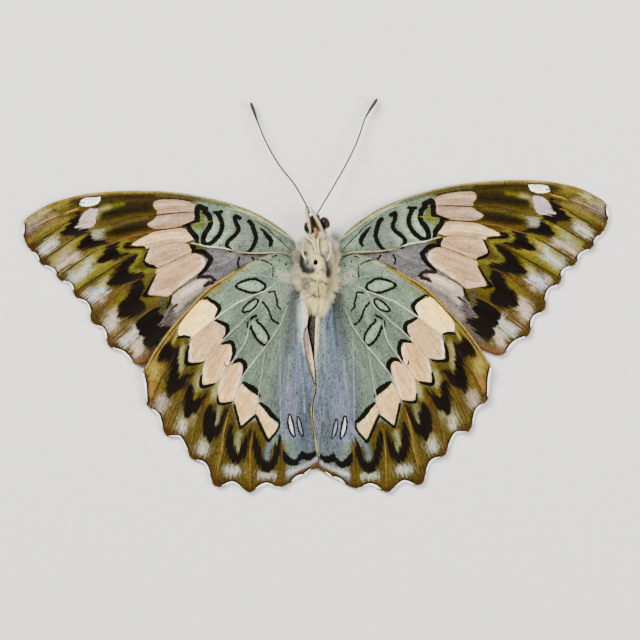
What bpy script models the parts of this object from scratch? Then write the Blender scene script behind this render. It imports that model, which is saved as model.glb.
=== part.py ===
"""A spread butterfly specimen that lies on its back, the underside of its wings facing up.

Axes: +X across the wings, +Y towards the head, +Z up, away from the surface that it rests on.
Origin: on that surface, under the middle of the wingspan and of the length over antennae and wings.
Sizes below are millimetres. Blender's own unit is the metre, so MM turns one into the other.

One forewing and one hindwing are drawn, for the right side. The left wings are their mirror images,
each turned and shifted a little, because the real wings were not set exactly alike.
"""

import math

import bmesh
import bpy
import numpy as np
from mathutils import Matrix, Vector

MM = 0.001

# Driving dimensions
WING_THICKNESS = 0.25
WING_STACK = 0.65          # height of a hindwing over the forewing that it overlaps
WING_LOW = 0.42            # height of the wing's middle surface far from the body
ROOT_RISE = 1.3            # how much higher the forewing's root is
ROOT_REACH = 13.0          # distance over which that rise dies away
PLEAT = 0.14               # height of a vein's ridge, and depth of the valley between two veins
FOLD_HEIGHT = 3.0          # the inner folds of the hindwings, where they arch over the abdomen
FOLD_REACH = 2.6
GAP = 0.3                  # clearance between neighbouring pieces

THORAX_X = 0.2
PIN_HOLE = (0.0, 4.3)
PIN_HOLE_RADIUS = 0.34
PIN_HOLE_DEPTH = 2.2

HEAD_CENTRE = (0.2, 9.35, 2.35)
HEAD_RADII = (1.15, 1.35, 1.25)
HEAD_TURN = math.radians(16.0)
EYE_OFFSET = 1.12
EYE_RADII = (0.75, 1.0, 1.0)

# Wing outlines of the right side. A margin cell is the stretch between two veins: the shallow bay
# with the white fringe by its start, middle and end, then the tip of the vein that closes the cell.
FORE_BASE = [(2.75, 6.9), (2.85, 5.2), (2.95, 3.2)]
FORE_LEADING = [(2.75, 6.9), (5.0, 9.3), (8.0, 11.4), (11.0, 12.8), (14.0, 13.8), (17.0, 14.6),
                (20.0, 15.15), (23.0, 15.45), (26.0, 15.65), (29.0, 15.65), (32.0, 15.45),
                (36.0, 14.6), (39.05, 13.1), (39.85, 12.3)]
FORE_CELLS = [[(39.9, 12.1), (40.0, 11.4), (40.15, 10.7), (39.6, 9.2)],
              [(38.9, 8.0), (38.35, 7.65), (38.12, 6.95), (37.75, 6.4)],
              [(37.3, 6.1), (36.45, 5.65), (35.85, 4.75), (35.4, 4.1)],
              [(34.85, 3.8), (34.1, 3.5), (33.68, 2.6), (33.55, 2.0)],
              [(33.0, 1.2), (32.0, 0.75), (31.5, -0.4), (31.4, -1.8)],
              [(30.65, -2.6), (29.9, -3.0), (29.5, -4.4), (29.2, -5.4)],
              [(28.6, -5.85), (27.5, -6.3), (26.2, -7.7), (25.0, -8.3)]]
FORE_CORNER = (22.8, -7.5)
FORE_INNER = [(2.95, 3.2), (7.0, 1.6), (13.0, -0.9), (19.0, -4.6), FORE_CORNER]

HIND_BASE = [(2.95, 3.5), (2.75, 1.8), (2.35, 0.4), (1.75, -0.5)]
HIND_LEADING = [(2.95, 3.5), (3.5, 4.6), (4.5, 5.25), (6.0, 5.45), (8.3, 4.7), (10.0, 4.0),
                (12.0, 2.9), (15.0, 1.05), (17.4, -1.3), (20.1, -4.1), (22.3, -7.0), (23.6, -9.2)]
HIND_CELLS = [[(23.95, -10.1), (23.7, -12.0), (23.6, -13.9), (23.4, -14.5)],
              [(22.9, -15.0), (22.0, -15.9), (21.5, -17.5), (21.1, -18.5)],
              [(20.6, -18.85), (19.2, -19.0), (18.15, -20.9), (17.7, -21.9)],
              [(16.9, -22.3), (15.8, -22.85), (15.2, -24.3), (14.6, -25.8)],
              [(13.5, -26.0), (12.1, -25.6), (10.95, -26.3), (9.85, -27.0)],
              [(8.85, -26.6), (7.4, -26.0), (6.6, -26.25), (5.35, -26.45)],
              [(3.85, -25.75), (3.2, -25.3), (2.5, -25.0), (1.94, -24.8)]]
HIND_LAST = (1.4, -24.35)

# The inner edges of the two hindwings, which nearly meet over the abdomen and leave a slit there.
RIGHT_INNER = [(1.75, -0.5), (0.95, -1.7), (0.3, -3.0), (0.0, -5.0), (0.05, -8.5), (0.15, -11.4),
               (0.15, -12.9), (-0.35, -16.2), (0.35, -20.6), (0.5, -23.9)]
LEFT_INNER = [(-1.45, -0.4), (-1.2, -1.7), (-0.85, -3.0), (-1.1, -4.6), (-0.7, -6.6), (-0.35, -8.8),
              (-0.2, -11.4), (-0.2, -12.9), (-0.7, -16.2), (0.0, -20.6), (0.15, -23.7)]

# How each left wing's mirror image is turned and shifted to where the real one was set.
LEFT_FORE_SET = (Matrix(((0.9969, 0.0573), (-0.0666, 0.9954))), Vector((-0.524, 0.341)))
LEFT_HIND_SET = (Matrix(((0.9984, 0.0236), (-0.0494, 0.9978))), Vector((-0.111, 0.397)))

WING_ROWS = 9
CELL_RIDGES = (0.2, -1.0, 0.2, 1.0)

# Stations along the body: y, half width, middle height, half height
THORAX_STATIONS = [(-0.9, 0.5, 1.9, 0.7), (-0.4, 1.15, 2.1, 1.4), (0.6, 1.75, 2.45, 2.2),
                   (1.8, 2.15, 2.7, 2.85), (3.6, 2.35, 2.75, 3.0), (5.3, 2.2, 2.75, 2.95),
                   (6.4, 1.85, 2.75, 2.5), (7.2, 1.3, 2.7, 1.8), (7.65, 0.6, 2.7, 0.8)]
ABDOMEN_STATIONS = [(-1.3, 0.6, 1.4, 0.6), (-1.8, 0.95, 1.35, 0.95), (-3.2, 1.15, 1.35, 1.15),
                    (-6.0, 1.15, 1.35, 1.12), (-9.0, 0.95, 1.2, 0.95), (-11.5, 0.7, 0.95, 0.7),
                    (-13.0, 0.42, 0.75, 0.45), (-13.8, 0.15, 0.7, 0.18)]

LEFT_PALP = [(-0.62, 8.15, 3.95), (-0.72, 9.0, 4.2), (-0.98, 10.3, 4.15), (-1.37, 11.76, 3.7)]
RIGHT_PALP = [(1.45, 8.2, 3.75), (0.98, 8.75, 4.1), (0.4, 9.85, 4.2), (-0.71, 11.84, 3.7)]
PALP_RADII = (0.16, 0.27, 0.29, 0.05)

LEFT_ANTENNA = [(-0.8, 11.05, 2.1), (-1.15, 11.97, 2.0), (-2.8, 14.9, 1.7), (-4.9, 17.6, 1.4),
                (-6.6, 20.5, 1.1), (-7.7, 23.05, 0.9), (-8.65, 25.7, 0.7), (-8.85, 26.3, 0.65)]
RIGHT_ANTENNA = [(0.22, 10.95, 2.2), (0.53, 11.5, 2.1), (2.2, 14.3, 1.8), (4.3, 18.0, 1.4),
                 (5.8, 21.2, 1.1), (6.8, 24.1, 0.9), (8.07, 26.2, 0.7), (8.5, 26.8, 0.65)]
ANTENNA_RADIUS = 0.15
CLUB_RADIUS = 0.26
CLUB_LENGTH_SHARE = 0.22

LEG_RADIUS = 0.26
LEG_LIFT = 0.62            # distance of a folded leg's middle line from the thorax
LEFT_FORELEG = [(-1.3, 7.9, 3.9), (-0.75, 7.35, 4.75), (-0.25, 6.7, 0.0), (0.0, 5.75, 0.0)]
RIGHT_FORELEG = [(0.75, 7.9, 4.4), (0.7, 7.35, 4.9), (0.72, 6.7, 0.0), (0.8, 5.9, 0.0)]
LEFT_MIDLEG = [(-1.6, 6.95, 3.6), (-1.75, 6.3, 0.0), (-1.68, 5.4, 0.0), (-1.3, 4.7, 0.0)]
RIGHT_MIDLEG = [(1.85, 7.25, 3.6), (2.05, 6.4, 0.0), (1.95, 5.4, 0.0), (1.6, 4.6, 0.0)]

PROBOSCIS_CENTRE = (0.14, 8.3, 4.45)
PROBOSCIS_RADII = (0.2, 0.88, 0.55)


def clear_scene():
    for item in list(bpy.data.objects):
        bpy.data.objects.remove(item, do_unlink=True)


def make_material(name, colour, roughness, metallic=0.0):
    material = bpy.data.materials.new(name)
    material.use_nodes = True
    shader = material.node_tree.nodes["Principled BSDF"]
    shader.inputs["Base Color"].default_value = (*colour, 1.0)
    shader.inputs["Roughness"].default_value = roughness
    shader.inputs["Metallic"].default_value = metallic
    material.diffuse_color = (*colour, 1.0)
    return material


def add_object(name, vertices, faces, material, smooth=True):
    """Puts points given in millimetres into an object whose faces point outwards."""
    mesh = bpy.data.meshes.new(name)
    mesh.from_pydata([tuple(MM * float(c) for c in point) for point in vertices], [], faces)
    shape = bmesh.new()
    shape.from_mesh(mesh)
    bmesh.ops.recalc_face_normals(shape, faces=shape.faces)
    shape.to_mesh(mesh)
    shape.free()
    if smooth:
        mesh.shade_smooth()
        mesh.set_sharp_from_angle(angle=math.radians(50.0))
    mesh.materials.append(material)
    thing = bpy.data.objects.new(name, mesh)
    bpy.context.scene.collection.objects.link(thing)
    return thing


def smooth_curve(points, steps=16):
    """A Catmull-Rom curve through the points, with this many steps between two of them."""
    points = np.asarray(points, float)
    ends = np.vstack([2 * points[0] - points[1], points, 2 * points[-1] - points[-2]])
    t = np.linspace(0.0, 1.0, steps, endpoint=False)[:, None]
    spans = []
    for a, b, c, d in zip(ends, ends[1:], ends[2:], ends[3:]):
        spans.append(0.5 * (2 * b + (c - a) * t + (2 * a - 5 * b + 4 * c - d) * t ** 2
                            + (3 * b - a - 3 * c + d) * t ** 3))
    return np.vstack(spans + [points[-1:]])


def length_shares(curve):
    """The share of a curve's length that lies before each of its points."""
    steps = np.linalg.norm(np.diff(curve, axis=0), axis=1)
    lengths = np.concatenate([[0.0], np.cumsum(steps)])
    return lengths / lengths[-1]


def along(curve, shares):
    """The points at these shares of a curve's length."""
    own = length_shares(curve)
    return np.stack([np.interp(shares, own, curve[:, axis]) for axis in range(curve.shape[1])], axis=1)


def ease(t):
    t = np.clip(t, 0.0, 1.0)
    return t * t * (3.0 - 2.0 * t)


def patch(base, leading, outer, inner, rows):
    """A grid of points between four edges: two ruled sheets are added and the corners taken off."""
    u = length_shares(outer)[:, None, None]
    v = np.linspace(0.0, 1.0, rows + 1)[None, :, None]
    base = along(base, u[:, 0, 0])[:, None, :]
    outer = outer[:, None, :]
    leading = along(leading, v[0, :, 0])[None, :, :]
    inner = along(inner, v[0, :, 0])[None, :, :]
    corners = (1 - u) * ((1 - v) * leading[:, :1] + v * leading[:, -1:])
    corners = corners + u * ((1 - v) * inner[:, :1] + v * inner[:, -1:])
    return (1 - v) * base + v * outer + (1 - u) * leading + u * inner - corners


def fore_height(x, y):
    reach = np.hypot(x - 2.8, y - 4.5) / ROOT_REACH
    return WING_LOW + ROOT_RISE * np.exp(-reach ** 2)


def hind_height(x, y, world_x):
    """Over the forewing as far as its inner edge, down to the low level past it, and up again in
    a fold over the abdomen."""
    start = np.array(FORE_INNER[0])
    along_edge = np.array(FORE_CORNER) - start
    along_edge = along_edge / np.linalg.norm(along_edge)
    past_edge = (x - start[0]) * along_edge[1] - (y - start[1]) * along_edge[0]
    over = fore_height(x, y) + WING_STACK
    sheet = over + (WING_LOW - over) * ease(past_edge / 9.0)
    fold = FOLD_HEIGHT * (1.0 - ease((-9.0 - y) / 10.0)) * np.exp(-(world_x / FOLD_REACH) ** 2)
    fold = fold * ease((0.5 - y) / 3.0)
    return 0.5 * (sheet + fold + np.sqrt((sheet - fold) ** 2 + 0.05))


def place_left(points, setting):
    """Turns and shifts right-hand points, then mirrors them to the left side."""
    turn, shift = setting
    moved = np.asarray(points, float) @ np.array(turn).T + np.array(shift)
    return moved * (-1.0, 1.0)


def back_to_right(points, setting):
    turn, shift = setting
    return (points * (-1.0, 1.0) - np.array(shift)) @ np.linalg.inv(np.array(turn)).T


def wing(name, edges, cells, height, setting, material):
    """A pleated sheet between the wing's four edges, given its thickness by a Solidify."""
    base, leading, outer, inner = edges
    if setting:
        base, leading, outer = (place_left(edge, setting) for edge in (base, leading, outer))
    plan = patch(smooth_curve(base), smooth_curve(leading), np.asarray(outer, float),
                 smooth_curve(inner), WING_ROWS)
    design = back_to_right(plan, setting) if setting else plan
    ridges = np.zeros(len(outer))
    ridges[1:1 + len(CELL_RIDGES) * cells] = CELL_RIDGES * cells
    u = length_shares(np.asarray(outer, float))
    v = np.linspace(0.0, 1.0, WING_ROWS + 1)
    fade = ease((v - 0.15) / 0.5)[None, :] * (ease(u / 0.2) * ease((1.0 - u) / 0.12))[:, None]
    z = height(design[..., 0], design[..., 1], plan[..., 0]) + PLEAT * ridges[:, None] * fade
    columns, rows = z.shape
    points = np.concatenate([plan, z[..., None]], axis=2).reshape(-1, 3)
    faces = [(c * rows + r, (c + 1) * rows + r, (c + 1) * rows + r + 1, c * rows + r + 1)
             for c in range(columns - 1) for r in range(rows - 1)]
    sheet = add_object(name, points, faces, material)
    wall = sheet.modifiers.new("membrane", 'SOLIDIFY')
    wall.thickness = WING_THICKNESS * MM
    wall.offset = 0.0
    return sheet


def add_wings(fore_material, hind_material):
    fore_outer = [FORE_LEADING[-1]] + [point for cell in FORE_CELLS for point in cell] + [FORE_CORNER]
    hind_outer = [HIND_LEADING[-1]] + [point for cell in HIND_CELLS for point in cell] + [HIND_LAST]

    def fore_sheet(x, y, world_x):
        return fore_height(x, y)

    left_fore_inner = place_left(FORE_INNER, LEFT_FORE_SET)
    wing("right_forewing", (FORE_BASE, FORE_LEADING, fore_outer, FORE_INNER), len(FORE_CELLS),
         fore_sheet, None, fore_material)
    wing("left_forewing", (FORE_BASE, FORE_LEADING, fore_outer, left_fore_inner), len(FORE_CELLS),
         fore_sheet, LEFT_FORE_SET, fore_material)

    left_end = tuple(back_to_right(np.array([LEFT_INNER[-1]]), LEFT_HIND_SET)[0])
    wing("right_hindwing", (HIND_BASE, HIND_LEADING, hind_outer + [RIGHT_INNER[-1]], RIGHT_INNER),
         len(HIND_CELLS), hind_height, None, hind_material)
    wing("left_hindwing", (HIND_BASE, HIND_LEADING, hind_outer + [left_end], LEFT_INNER),
         len(HIND_CELLS), hind_height, LEFT_HIND_SET, hind_material)


def lofted_rings(rings):
    """Closed sides between rings of equal count, each end closed to a point in its middle."""
    rings = np.asarray(rings, float)
    count, sides, _ = rings.shape
    points = list(rings.reshape(-1, 3)) + [rings[0].mean(axis=0), rings[-1].mean(axis=0)]
    faces = []
    for ring in range(count - 1):
        for side in range(sides):
            after = (side + 1) % sides
            faces.append((ring * sides + side, ring * sides + after,
                          (ring + 1) * sides + after, (ring + 1) * sides + side))
    for side in range(sides):
        after = (side + 1) % sides
        faces.append((after, side, count * sides))
        faces.append(((count - 1) * sides + side, (count - 1) * sides + after, count * sides + 1))
    return points, faces


def body_rings(stations, middle_x, sides, steps, floor=None):
    """Ellipses across the body at stations read from a smooth curve, flattened where they would
    reach below the floor."""
    curve = smooth_curve(stations, steps)
    angles = np.linspace(0.0, 2 * math.pi, sides, endpoint=False)
    rings = []
    for y, half_width, middle, half_height in curve:
        x = middle_x + half_width * np.cos(angles)
        z = middle + half_height * np.sin(angles)
        if floor is not None:
            z = np.maximum(z, floor)
        rings.append(np.stack([x, np.full(sides, y), z], axis=1))
    return rings


def tube(name, path, radii, sides, steps, material):
    """Rings of changing radius carried along a smooth path."""
    curve = smooth_curve(path, steps)
    radius = np.interp(length_shares(curve), np.linspace(0.0, 1.0, len(radii)), radii)
    directions = np.gradient(curve, axis=0)
    directions = directions / np.linalg.norm(directions, axis=1)[:, None]
    sideways = np.cross(directions, (0.0, 0.0, 1.0))
    sideways = sideways / np.linalg.norm(sideways, axis=1)[:, None]
    upwards = np.cross(sideways, directions)
    angles = np.linspace(0.0, 2 * math.pi, sides, endpoint=False)[None, :, None]
    rings = curve[:, None] + radius[:, None, None] * (np.cos(angles) * sideways[:, None]
                                                      + np.sin(angles) * upwards[:, None])
    points, faces = lofted_rings(rings)
    return add_object(name, points, faces, material)


def ellipsoid(name, centre, radii, turn, segments, rings, material):
    shape = bmesh.new()
    bmesh.ops.create_uvsphere(shape, u_segments=segments, v_segments=rings, radius=1.0)
    place = (Matrix.Translation(Vector(centre) * MM) @ Matrix.Rotation(turn, 4, 'Z')
             @ Matrix.Diagonal((*(r * MM for r in radii), 1.0)))
    bmesh.ops.transform(shape, matrix=place, verts=shape.verts)
    mesh = bpy.data.meshes.new(name)
    shape.to_mesh(mesh)
    shape.free()
    mesh.shade_smooth()
    mesh.materials.append(material)
    thing = bpy.data.objects.new(name, mesh)
    bpy.context.scene.collection.objects.link(thing)
    return thing


def cut(target, cutter):
    cutter.hide_render = True
    cutter.display_type = 'WIRE'
    boolean = target.modifiers.new("cut_" + cutter.name, 'BOOLEAN')
    boolean.operation = 'DIFFERENCE'
    boolean.solver = 'EXACT'
    boolean.object = cutter


def thorax_top(x, y, lift=0.0):
    """Height over a point of the plan of the thorax's upper surface, or of one that far off it."""
    curve = smooth_curve(THORAX_STATIONS)
    width, middle, height = (np.interp(y, curve[:, 0], curve[:, axis]) for axis in (1, 2, 3))
    across = min(abs(x - THORAX_X) / (width + lift), 0.98)
    return middle + (height + lift) * math.sqrt(1.0 - across ** 2)


def add_thorax(material):
    points, faces = lofted_rings(body_rings(THORAX_STATIONS, THORAX_X, 20, 2, floor=0.0))
    thorax = add_object("thorax", points, faces, material)
    x, y = PIN_HOLE
    top = thorax_top(x, y)
    rings = [[(x + r * math.cos(a), y + r * math.sin(a), z) for a in np.linspace(0, 2 * math.pi, 10, False)]
             for r, z in ((0.6 * PIN_HOLE_RADIUS, top - PIN_HOLE_DEPTH), (PIN_HOLE_RADIUS, top + 1.0))]
    points, faces = lofted_rings(rings)
    cut(thorax, add_object("pin_hole_cutter", points, faces, material, smooth=False))


def eye_centre(side):
    return (HEAD_CENTRE[0] + side * EYE_OFFSET * math.cos(HEAD_TURN),
            HEAD_CENTRE[1] + side * EYE_OFFSET * math.sin(HEAD_TURN), HEAD_CENTRE[2])


def add_head(head_material, eye_material):
    """The head is hollowed at its sides for the eyes, with the usual gap round each."""
    head = ellipsoid("head", HEAD_CENTRE, HEAD_RADII, HEAD_TURN, 20, 12, head_material)
    wider = tuple(r + GAP for r in EYE_RADII)
    for name, side in (("left", -1), ("right", 1)):
        ellipsoid(name + "_eye", eye_centre(side), EYE_RADII, HEAD_TURN, 16, 10, eye_material)
        cut(head, ellipsoid(name + "_eye_cutter", eye_centre(side), wider, HEAD_TURN, 20, 12,
                            head_material))


def leg_path(plan):
    """A leg point with height 0 lies on the thorax."""
    return [(x, y, z if z else thorax_top(x, y, LEG_LIFT)) for x, y, z in plan]


def add_legs(material):
    radii = (0.7 * LEG_RADIUS, LEG_RADIUS, LEG_RADIUS, 0.6 * LEG_RADIUS)
    for name, plan in (("left_foreleg", LEFT_FORELEG), ("right_foreleg", RIGHT_FORELEG),
                       ("left_midleg", LEFT_MIDLEG), ("right_midleg", RIGHT_MIDLEG)):
        tube(name, leg_path(plan), radii, 8, 3, material)


def add_antennae(material):
    club_start = 1.0 - CLUB_LENGTH_SHARE
    shares = np.linspace(0.0, 1.0, 24)
    radii = ANTENNA_RADIUS + (CLUB_RADIUS - ANTENNA_RADIUS) * ease((shares - club_start) / 0.12)
    radii[-1] = 0.4 * CLUB_RADIUS
    for name, path in (("left_antenna", LEFT_ANTENNA), ("right_antenna", RIGHT_ANTENNA)):
        tube(name, path, radii, 6, 3, material)


def main():
    clear_scene()
    fore = make_material("forewing_membrane", (0.42, 0.33, 0.20), 0.75)
    hind = make_material("hindwing_membrane", (0.36, 0.38, 0.28), 0.75)
    fur = make_material("cream_fur", (0.62, 0.56, 0.38), 0.9)
    scales = make_material("pale_palp_scales", (0.78, 0.70, 0.52), 0.8)
    shell = make_material("dark_cuticle", (0.05, 0.03, 0.02), 0.4)
    eye = make_material("compound_eye", (0.05, 0.015, 0.008), 0.25)
    amber = make_material("amber_cuticle", (0.42, 0.20, 0.05), 0.35)

    add_thorax(fur)
    add_head(shell, eye)
    points, faces = lofted_rings(body_rings(ABDOMEN_STATIONS, 0.0, 14, 2))
    add_object("abdomen", points, faces, shell)
    tube("left_palp", LEFT_PALP, PALP_RADII, 8, 4, scales)
    tube("right_palp", RIGHT_PALP, PALP_RADII, 8, 4, scales)
    ellipsoid("proboscis", PROBOSCIS_CENTRE, PROBOSCIS_RADII, 0.0, 12, 8, amber)
    add_antennae(shell)
    add_legs(fur)
    add_wings(fore, hind)


main()
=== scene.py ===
# %% [markdown]
# # A spread butterfly, its underside up
# The specimen lies on its back with the wings opened flat, so what shows is the underside: sea-green
# bases, a band of flesh-coloured patches, dark chevrons on olive, and white arcs along the margin.
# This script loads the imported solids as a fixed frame. Finer surfaces take the solids' places, and
# every marking is painted from outlines in millimetres, which a shader then breaks up into scales.

# %% Load the frame
import math

import bpy
import numpy as np
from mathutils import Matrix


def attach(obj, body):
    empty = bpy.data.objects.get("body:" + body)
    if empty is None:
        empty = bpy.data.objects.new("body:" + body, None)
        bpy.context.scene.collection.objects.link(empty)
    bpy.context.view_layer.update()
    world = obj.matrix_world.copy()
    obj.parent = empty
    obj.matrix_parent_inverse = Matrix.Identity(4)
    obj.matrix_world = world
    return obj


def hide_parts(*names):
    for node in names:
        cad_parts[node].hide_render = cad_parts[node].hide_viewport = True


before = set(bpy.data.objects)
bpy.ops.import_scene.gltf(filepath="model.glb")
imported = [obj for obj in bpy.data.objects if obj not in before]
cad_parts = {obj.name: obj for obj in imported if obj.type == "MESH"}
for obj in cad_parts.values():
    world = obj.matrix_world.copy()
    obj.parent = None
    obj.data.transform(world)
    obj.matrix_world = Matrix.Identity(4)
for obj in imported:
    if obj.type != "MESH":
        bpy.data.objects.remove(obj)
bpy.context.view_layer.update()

MM = 0.001      # every size below is in millimetres, and Blender's unit is the metre

# %% [markdown]
# ## The camera
# The specimen was photographed from straight above, so that no wing looks shorter than the other. A
# long lens far away gives almost parallel lines of sight and still counts as a perspective camera.
# The width of the picture at the wings and the point under its middle settle where it hangs.

# %% Camera
PICTURE_WIDTH = 87.5
PICTURE_MIDDLE = (0.615, -3.487, 0.8)
LENS = 210.0
SENSOR = 36.0

camera = bpy.data.objects.new("camera", bpy.data.cameras.new("camera"))
camera.data.lens = LENS
camera.data.sensor_width = SENSOR
distance = PICTURE_WIDTH * LENS / SENSOR
camera.location = (PICTURE_MIDDLE[0] * MM, PICTURE_MIDDLE[1] * MM, (PICTURE_MIDDLE[2] + distance) * MM)
bpy.context.scene.collection.objects.link(camera)
bpy.context.scene.camera = camera
print("the camera hangs", round(distance), "mm above the wings")

# %% [markdown]
# ## Colours and shader nodes
# Colours are written as the hex values that a paint chart would give, and one function turns them
# to the linear values that Blender works with. One small function adds a shader node, its settings
# and its links, so that each material below reads as a list of what feeds what.

# %% Colour and node helpers
def linear(hex_colour):
    """sRGB to linear: c / 12.92 below 0.04045, else ((c + 0.055) / 1.055) to the power 2.4."""
    values = np.array([int(hex_colour[i:i + 2], 16) for i in (1, 3, 5)]) / 255.0
    return np.where(values <= 0.04045, values / 12.92, ((values + 0.055) / 1.055) ** 2.4)


def connect(tree, made, inputs):
    """Fills a node's inputs, given by name or listed in their own order. Each takes a number, a
    colour, or an output socket to link from."""
    for name, value in inputs.items() if isinstance(inputs, dict) else enumerate(inputs):
        if isinstance(value, bpy.types.NodeSocket):
            tree.links.new(value, made.inputs[name])
        else:
            made.inputs[name].default_value = value


def node(tree, kind, inputs=(), **settings):
    """Adds a node, chooses its settings and fills its inputs."""
    made = tree.nodes.new("ShaderNode" + kind)
    for name, value in settings.items():
        setattr(made, name, value)
    connect(tree, made, inputs)
    return made


def new_material(name):
    """An empty principled material: the material, its node tree and its shader."""
    material = bpy.data.materials.new(name)
    material.use_nodes = True
    return material, material.node_tree, material.node_tree.nodes["Principled BSDF"]

# %% [markdown]
# ## Floor and studio light
# A matt pale floor and two large soft lamps, one at the upper left and a weaker one at the right, as
# on a copy stand. Their size keeps the shadow of each vein soft. The glossy reflection of a lamp on
# thin scales would wash the blacks out, so the lamps stand low and off to the sides.

# %% Floor
FLOOR_SIZE = 3000.0

floor_mesh = bpy.data.meshes.new("floor")
half = 0.5 * FLOOR_SIZE * MM
floor_mesh.from_pydata([(-half, -half, 0), (half, -half, 0), (half, half, 0), (-half, half, 0)], [],
                       [(0, 1, 2, 3)])
floor = bpy.data.objects.new("floor", floor_mesh)
bpy.context.scene.collection.objects.link(floor)

# Seamless photographic paper: matt, very slightly warm, faintly fibrous.
paper, tree, shader = new_material("seamless_paper")
place = node(tree, "TexCoord")
fibres = node(tree, "TexNoise", {"Vector": place.outputs["Object"], "Scale": 900.0, "Detail": 3.0})
shade = node(tree, "MixRGB", {"Fac": fibres.outputs["Fac"], "Color1": (*linear("#dedcd8"), 1),
                              "Color2": (*linear("#e6e4e0"), 1)})
connect(tree, shader, {"Base Color": shade.outputs["Color"], "Roughness": 0.9, "Specular IOR Level": 0.1})
floor_mesh.materials.append(paper)

# %% Lamps
LAMPS = {"key_lamp": ((-520.0, 560.0, 620.0), 520.0, 25.0),
         "fill_lamp": ((620.0, -120.0, 560.0), 620.0, 11.5)}


def area_lamp(name, place, size, power):
    """A square soft box that faces the specimen."""
    data = bpy.data.lights.new(name, 'AREA')
    data.shape = 'SQUARE'
    data.size = size * MM
    data.energy = power
    lamp = bpy.data.objects.new(name, data)
    lamp.location = [v * MM for v in place]
    lamp.rotation_euler = (-lamp.location).to_track_quat('-Z', 'Y').to_euler()
    bpy.context.scene.collection.objects.link(lamp)


for name, (place, size, power) in LAMPS.items():
    area_lamp(name, place, size, power)

world = bpy.data.worlds.new("studio")
world.use_nodes = True
world.node_tree.nodes["Background"].inputs["Color"].default_value = (1.0, 1.0, 1.0, 1.0)
world.node_tree.nodes["Background"].inputs["Strength"].default_value = 0.36
bpy.context.scene.world = world
print("lamps:", sorted(LAMPS))

# %% [markdown]
# ## Curves and sheets
# Every outline, vein and stroke is a short list of points joined by a smooth curve. A wing is the
# sheet between four such curves: the root, the leading edge, the scalloped margin and the inner edge.

# %% Curve helpers
def smooth_curve(points, steps=8):
    """Catmull-Rom: between b and c the curve is the cubic with slopes (c - a) / 2 and (d - b) / 2."""
    points = np.asarray(points, float)
    ends = np.vstack([2 * points[0] - points[1], points, 2 * points[-1] - points[-2]])
    a, b, c, d = (ends[i:len(ends) - 3 + i, None] for i in range(4))
    t = np.linspace(0.0, 1.0, steps, endpoint=False)[None, :, None]
    spans = 0.5 * (2 * b + (c - a) * t + (2 * a - 5 * b + 4 * c - d) * t ** 2
                   + (3 * b - a - 3 * c + d) * t ** 3)
    return np.vstack([spans.reshape(-1, points.shape[1]), points[-1:]])


def length_shares(curve):
    """The share of a curve's length that lies before each of its points."""
    lengths = np.concatenate([[0.0], np.cumsum(np.linalg.norm(np.diff(curve, axis=0), axis=1))])
    return lengths / lengths[-1]


def along(curve, shares):
    """The points at these shares of a curve's length."""
    own = length_shares(curve)
    return np.stack([np.interp(shares, own, curve[:, axis]) for axis in range(curve.shape[1])], axis=1)


def ease(t):
    """Smoothstep: 0 below 0, 1 above 1, and 3 t squared less 2 t cubed between."""
    t = np.clip(t, 0.0, 1.0)
    return t * t * (3.0 - 2.0 * t)


def sheet_between(root, leading, margin, inner, columns, rows):
    """A Coons patch: the two ruled sheets between facing edges are added and the sheet ruled
    between the four corners is taken off. Columns run along the margin, rows out from the root."""
    u = np.linspace(0.0, 1.0, columns + 1)
    v = np.linspace(0.0, 1.0, rows + 1)
    root, margin = along(root, u)[:, None], along(margin, u)[:, None]
    leading, inner = along(leading, v)[None], along(inner, v)[None]
    u, v = u[:, None, None], v[None, :, None]
    corners = (1 - u) * ((1 - v) * leading[:, :1] + v * leading[:, -1:])
    corners = corners + u * ((1 - v) * inner[:, :1] + v * inner[:, -1:])
    return (1 - v) * root + v * margin + (1 - u) * leading + u * inner - corners

# %% [markdown]
# ## From arrays to meshes
# Numpy works out all points at once, and foreach_set hands them to Blender in one go. A thin skin
# becomes a closed shell here: its upper grid, its lower grid turned over, and a rim of faces between
# their edges, so that the mesh has no open border.

# %% Mesh helpers
def shell_faces(columns, rows):
    """Quads of a closed shell over two grids of columns x rows points, the upper one numbered first."""
    count = columns * rows
    index = np.arange(count).reshape(columns, rows)
    upper = np.stack([index[:-1, :-1], index[1:, :-1], index[1:, 1:], index[:-1, 1:]], axis=-1)
    upper = upper.reshape(-1, 4)
    edge = np.concatenate([index[:-1, 0], index[-1, :-1], index[:0:-1, -1], index[0, :0:-1]])
    after = np.roll(edge, -1)
    rim = np.stack([after, edge, edge + count, after + count], axis=1)
    return np.vstack([upper, upper[:, ::-1] + count, rim])


def loft_faces(rings, sides):
    """Quads between closed rings, and a fan to the middle point of each end: the first ring's
    middle has index rings * sides and the last ring's comes after it."""
    index = np.arange(rings * sides).reshape(rings, sides)
    turned = np.roll(index, -1, axis=1)
    walls = np.stack([index[:-1], turned[:-1], turned[1:], index[1:]], axis=-1).reshape(-1, 4)
    first, last = rings * sides, rings * sides + 1
    start = np.stack([turned[0], index[0], np.full(sides, first)], axis=1)
    end = np.stack([index[-1], turned[-1], np.full(sides, last)], axis=1)
    return walls, np.vstack([start, end])


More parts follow.
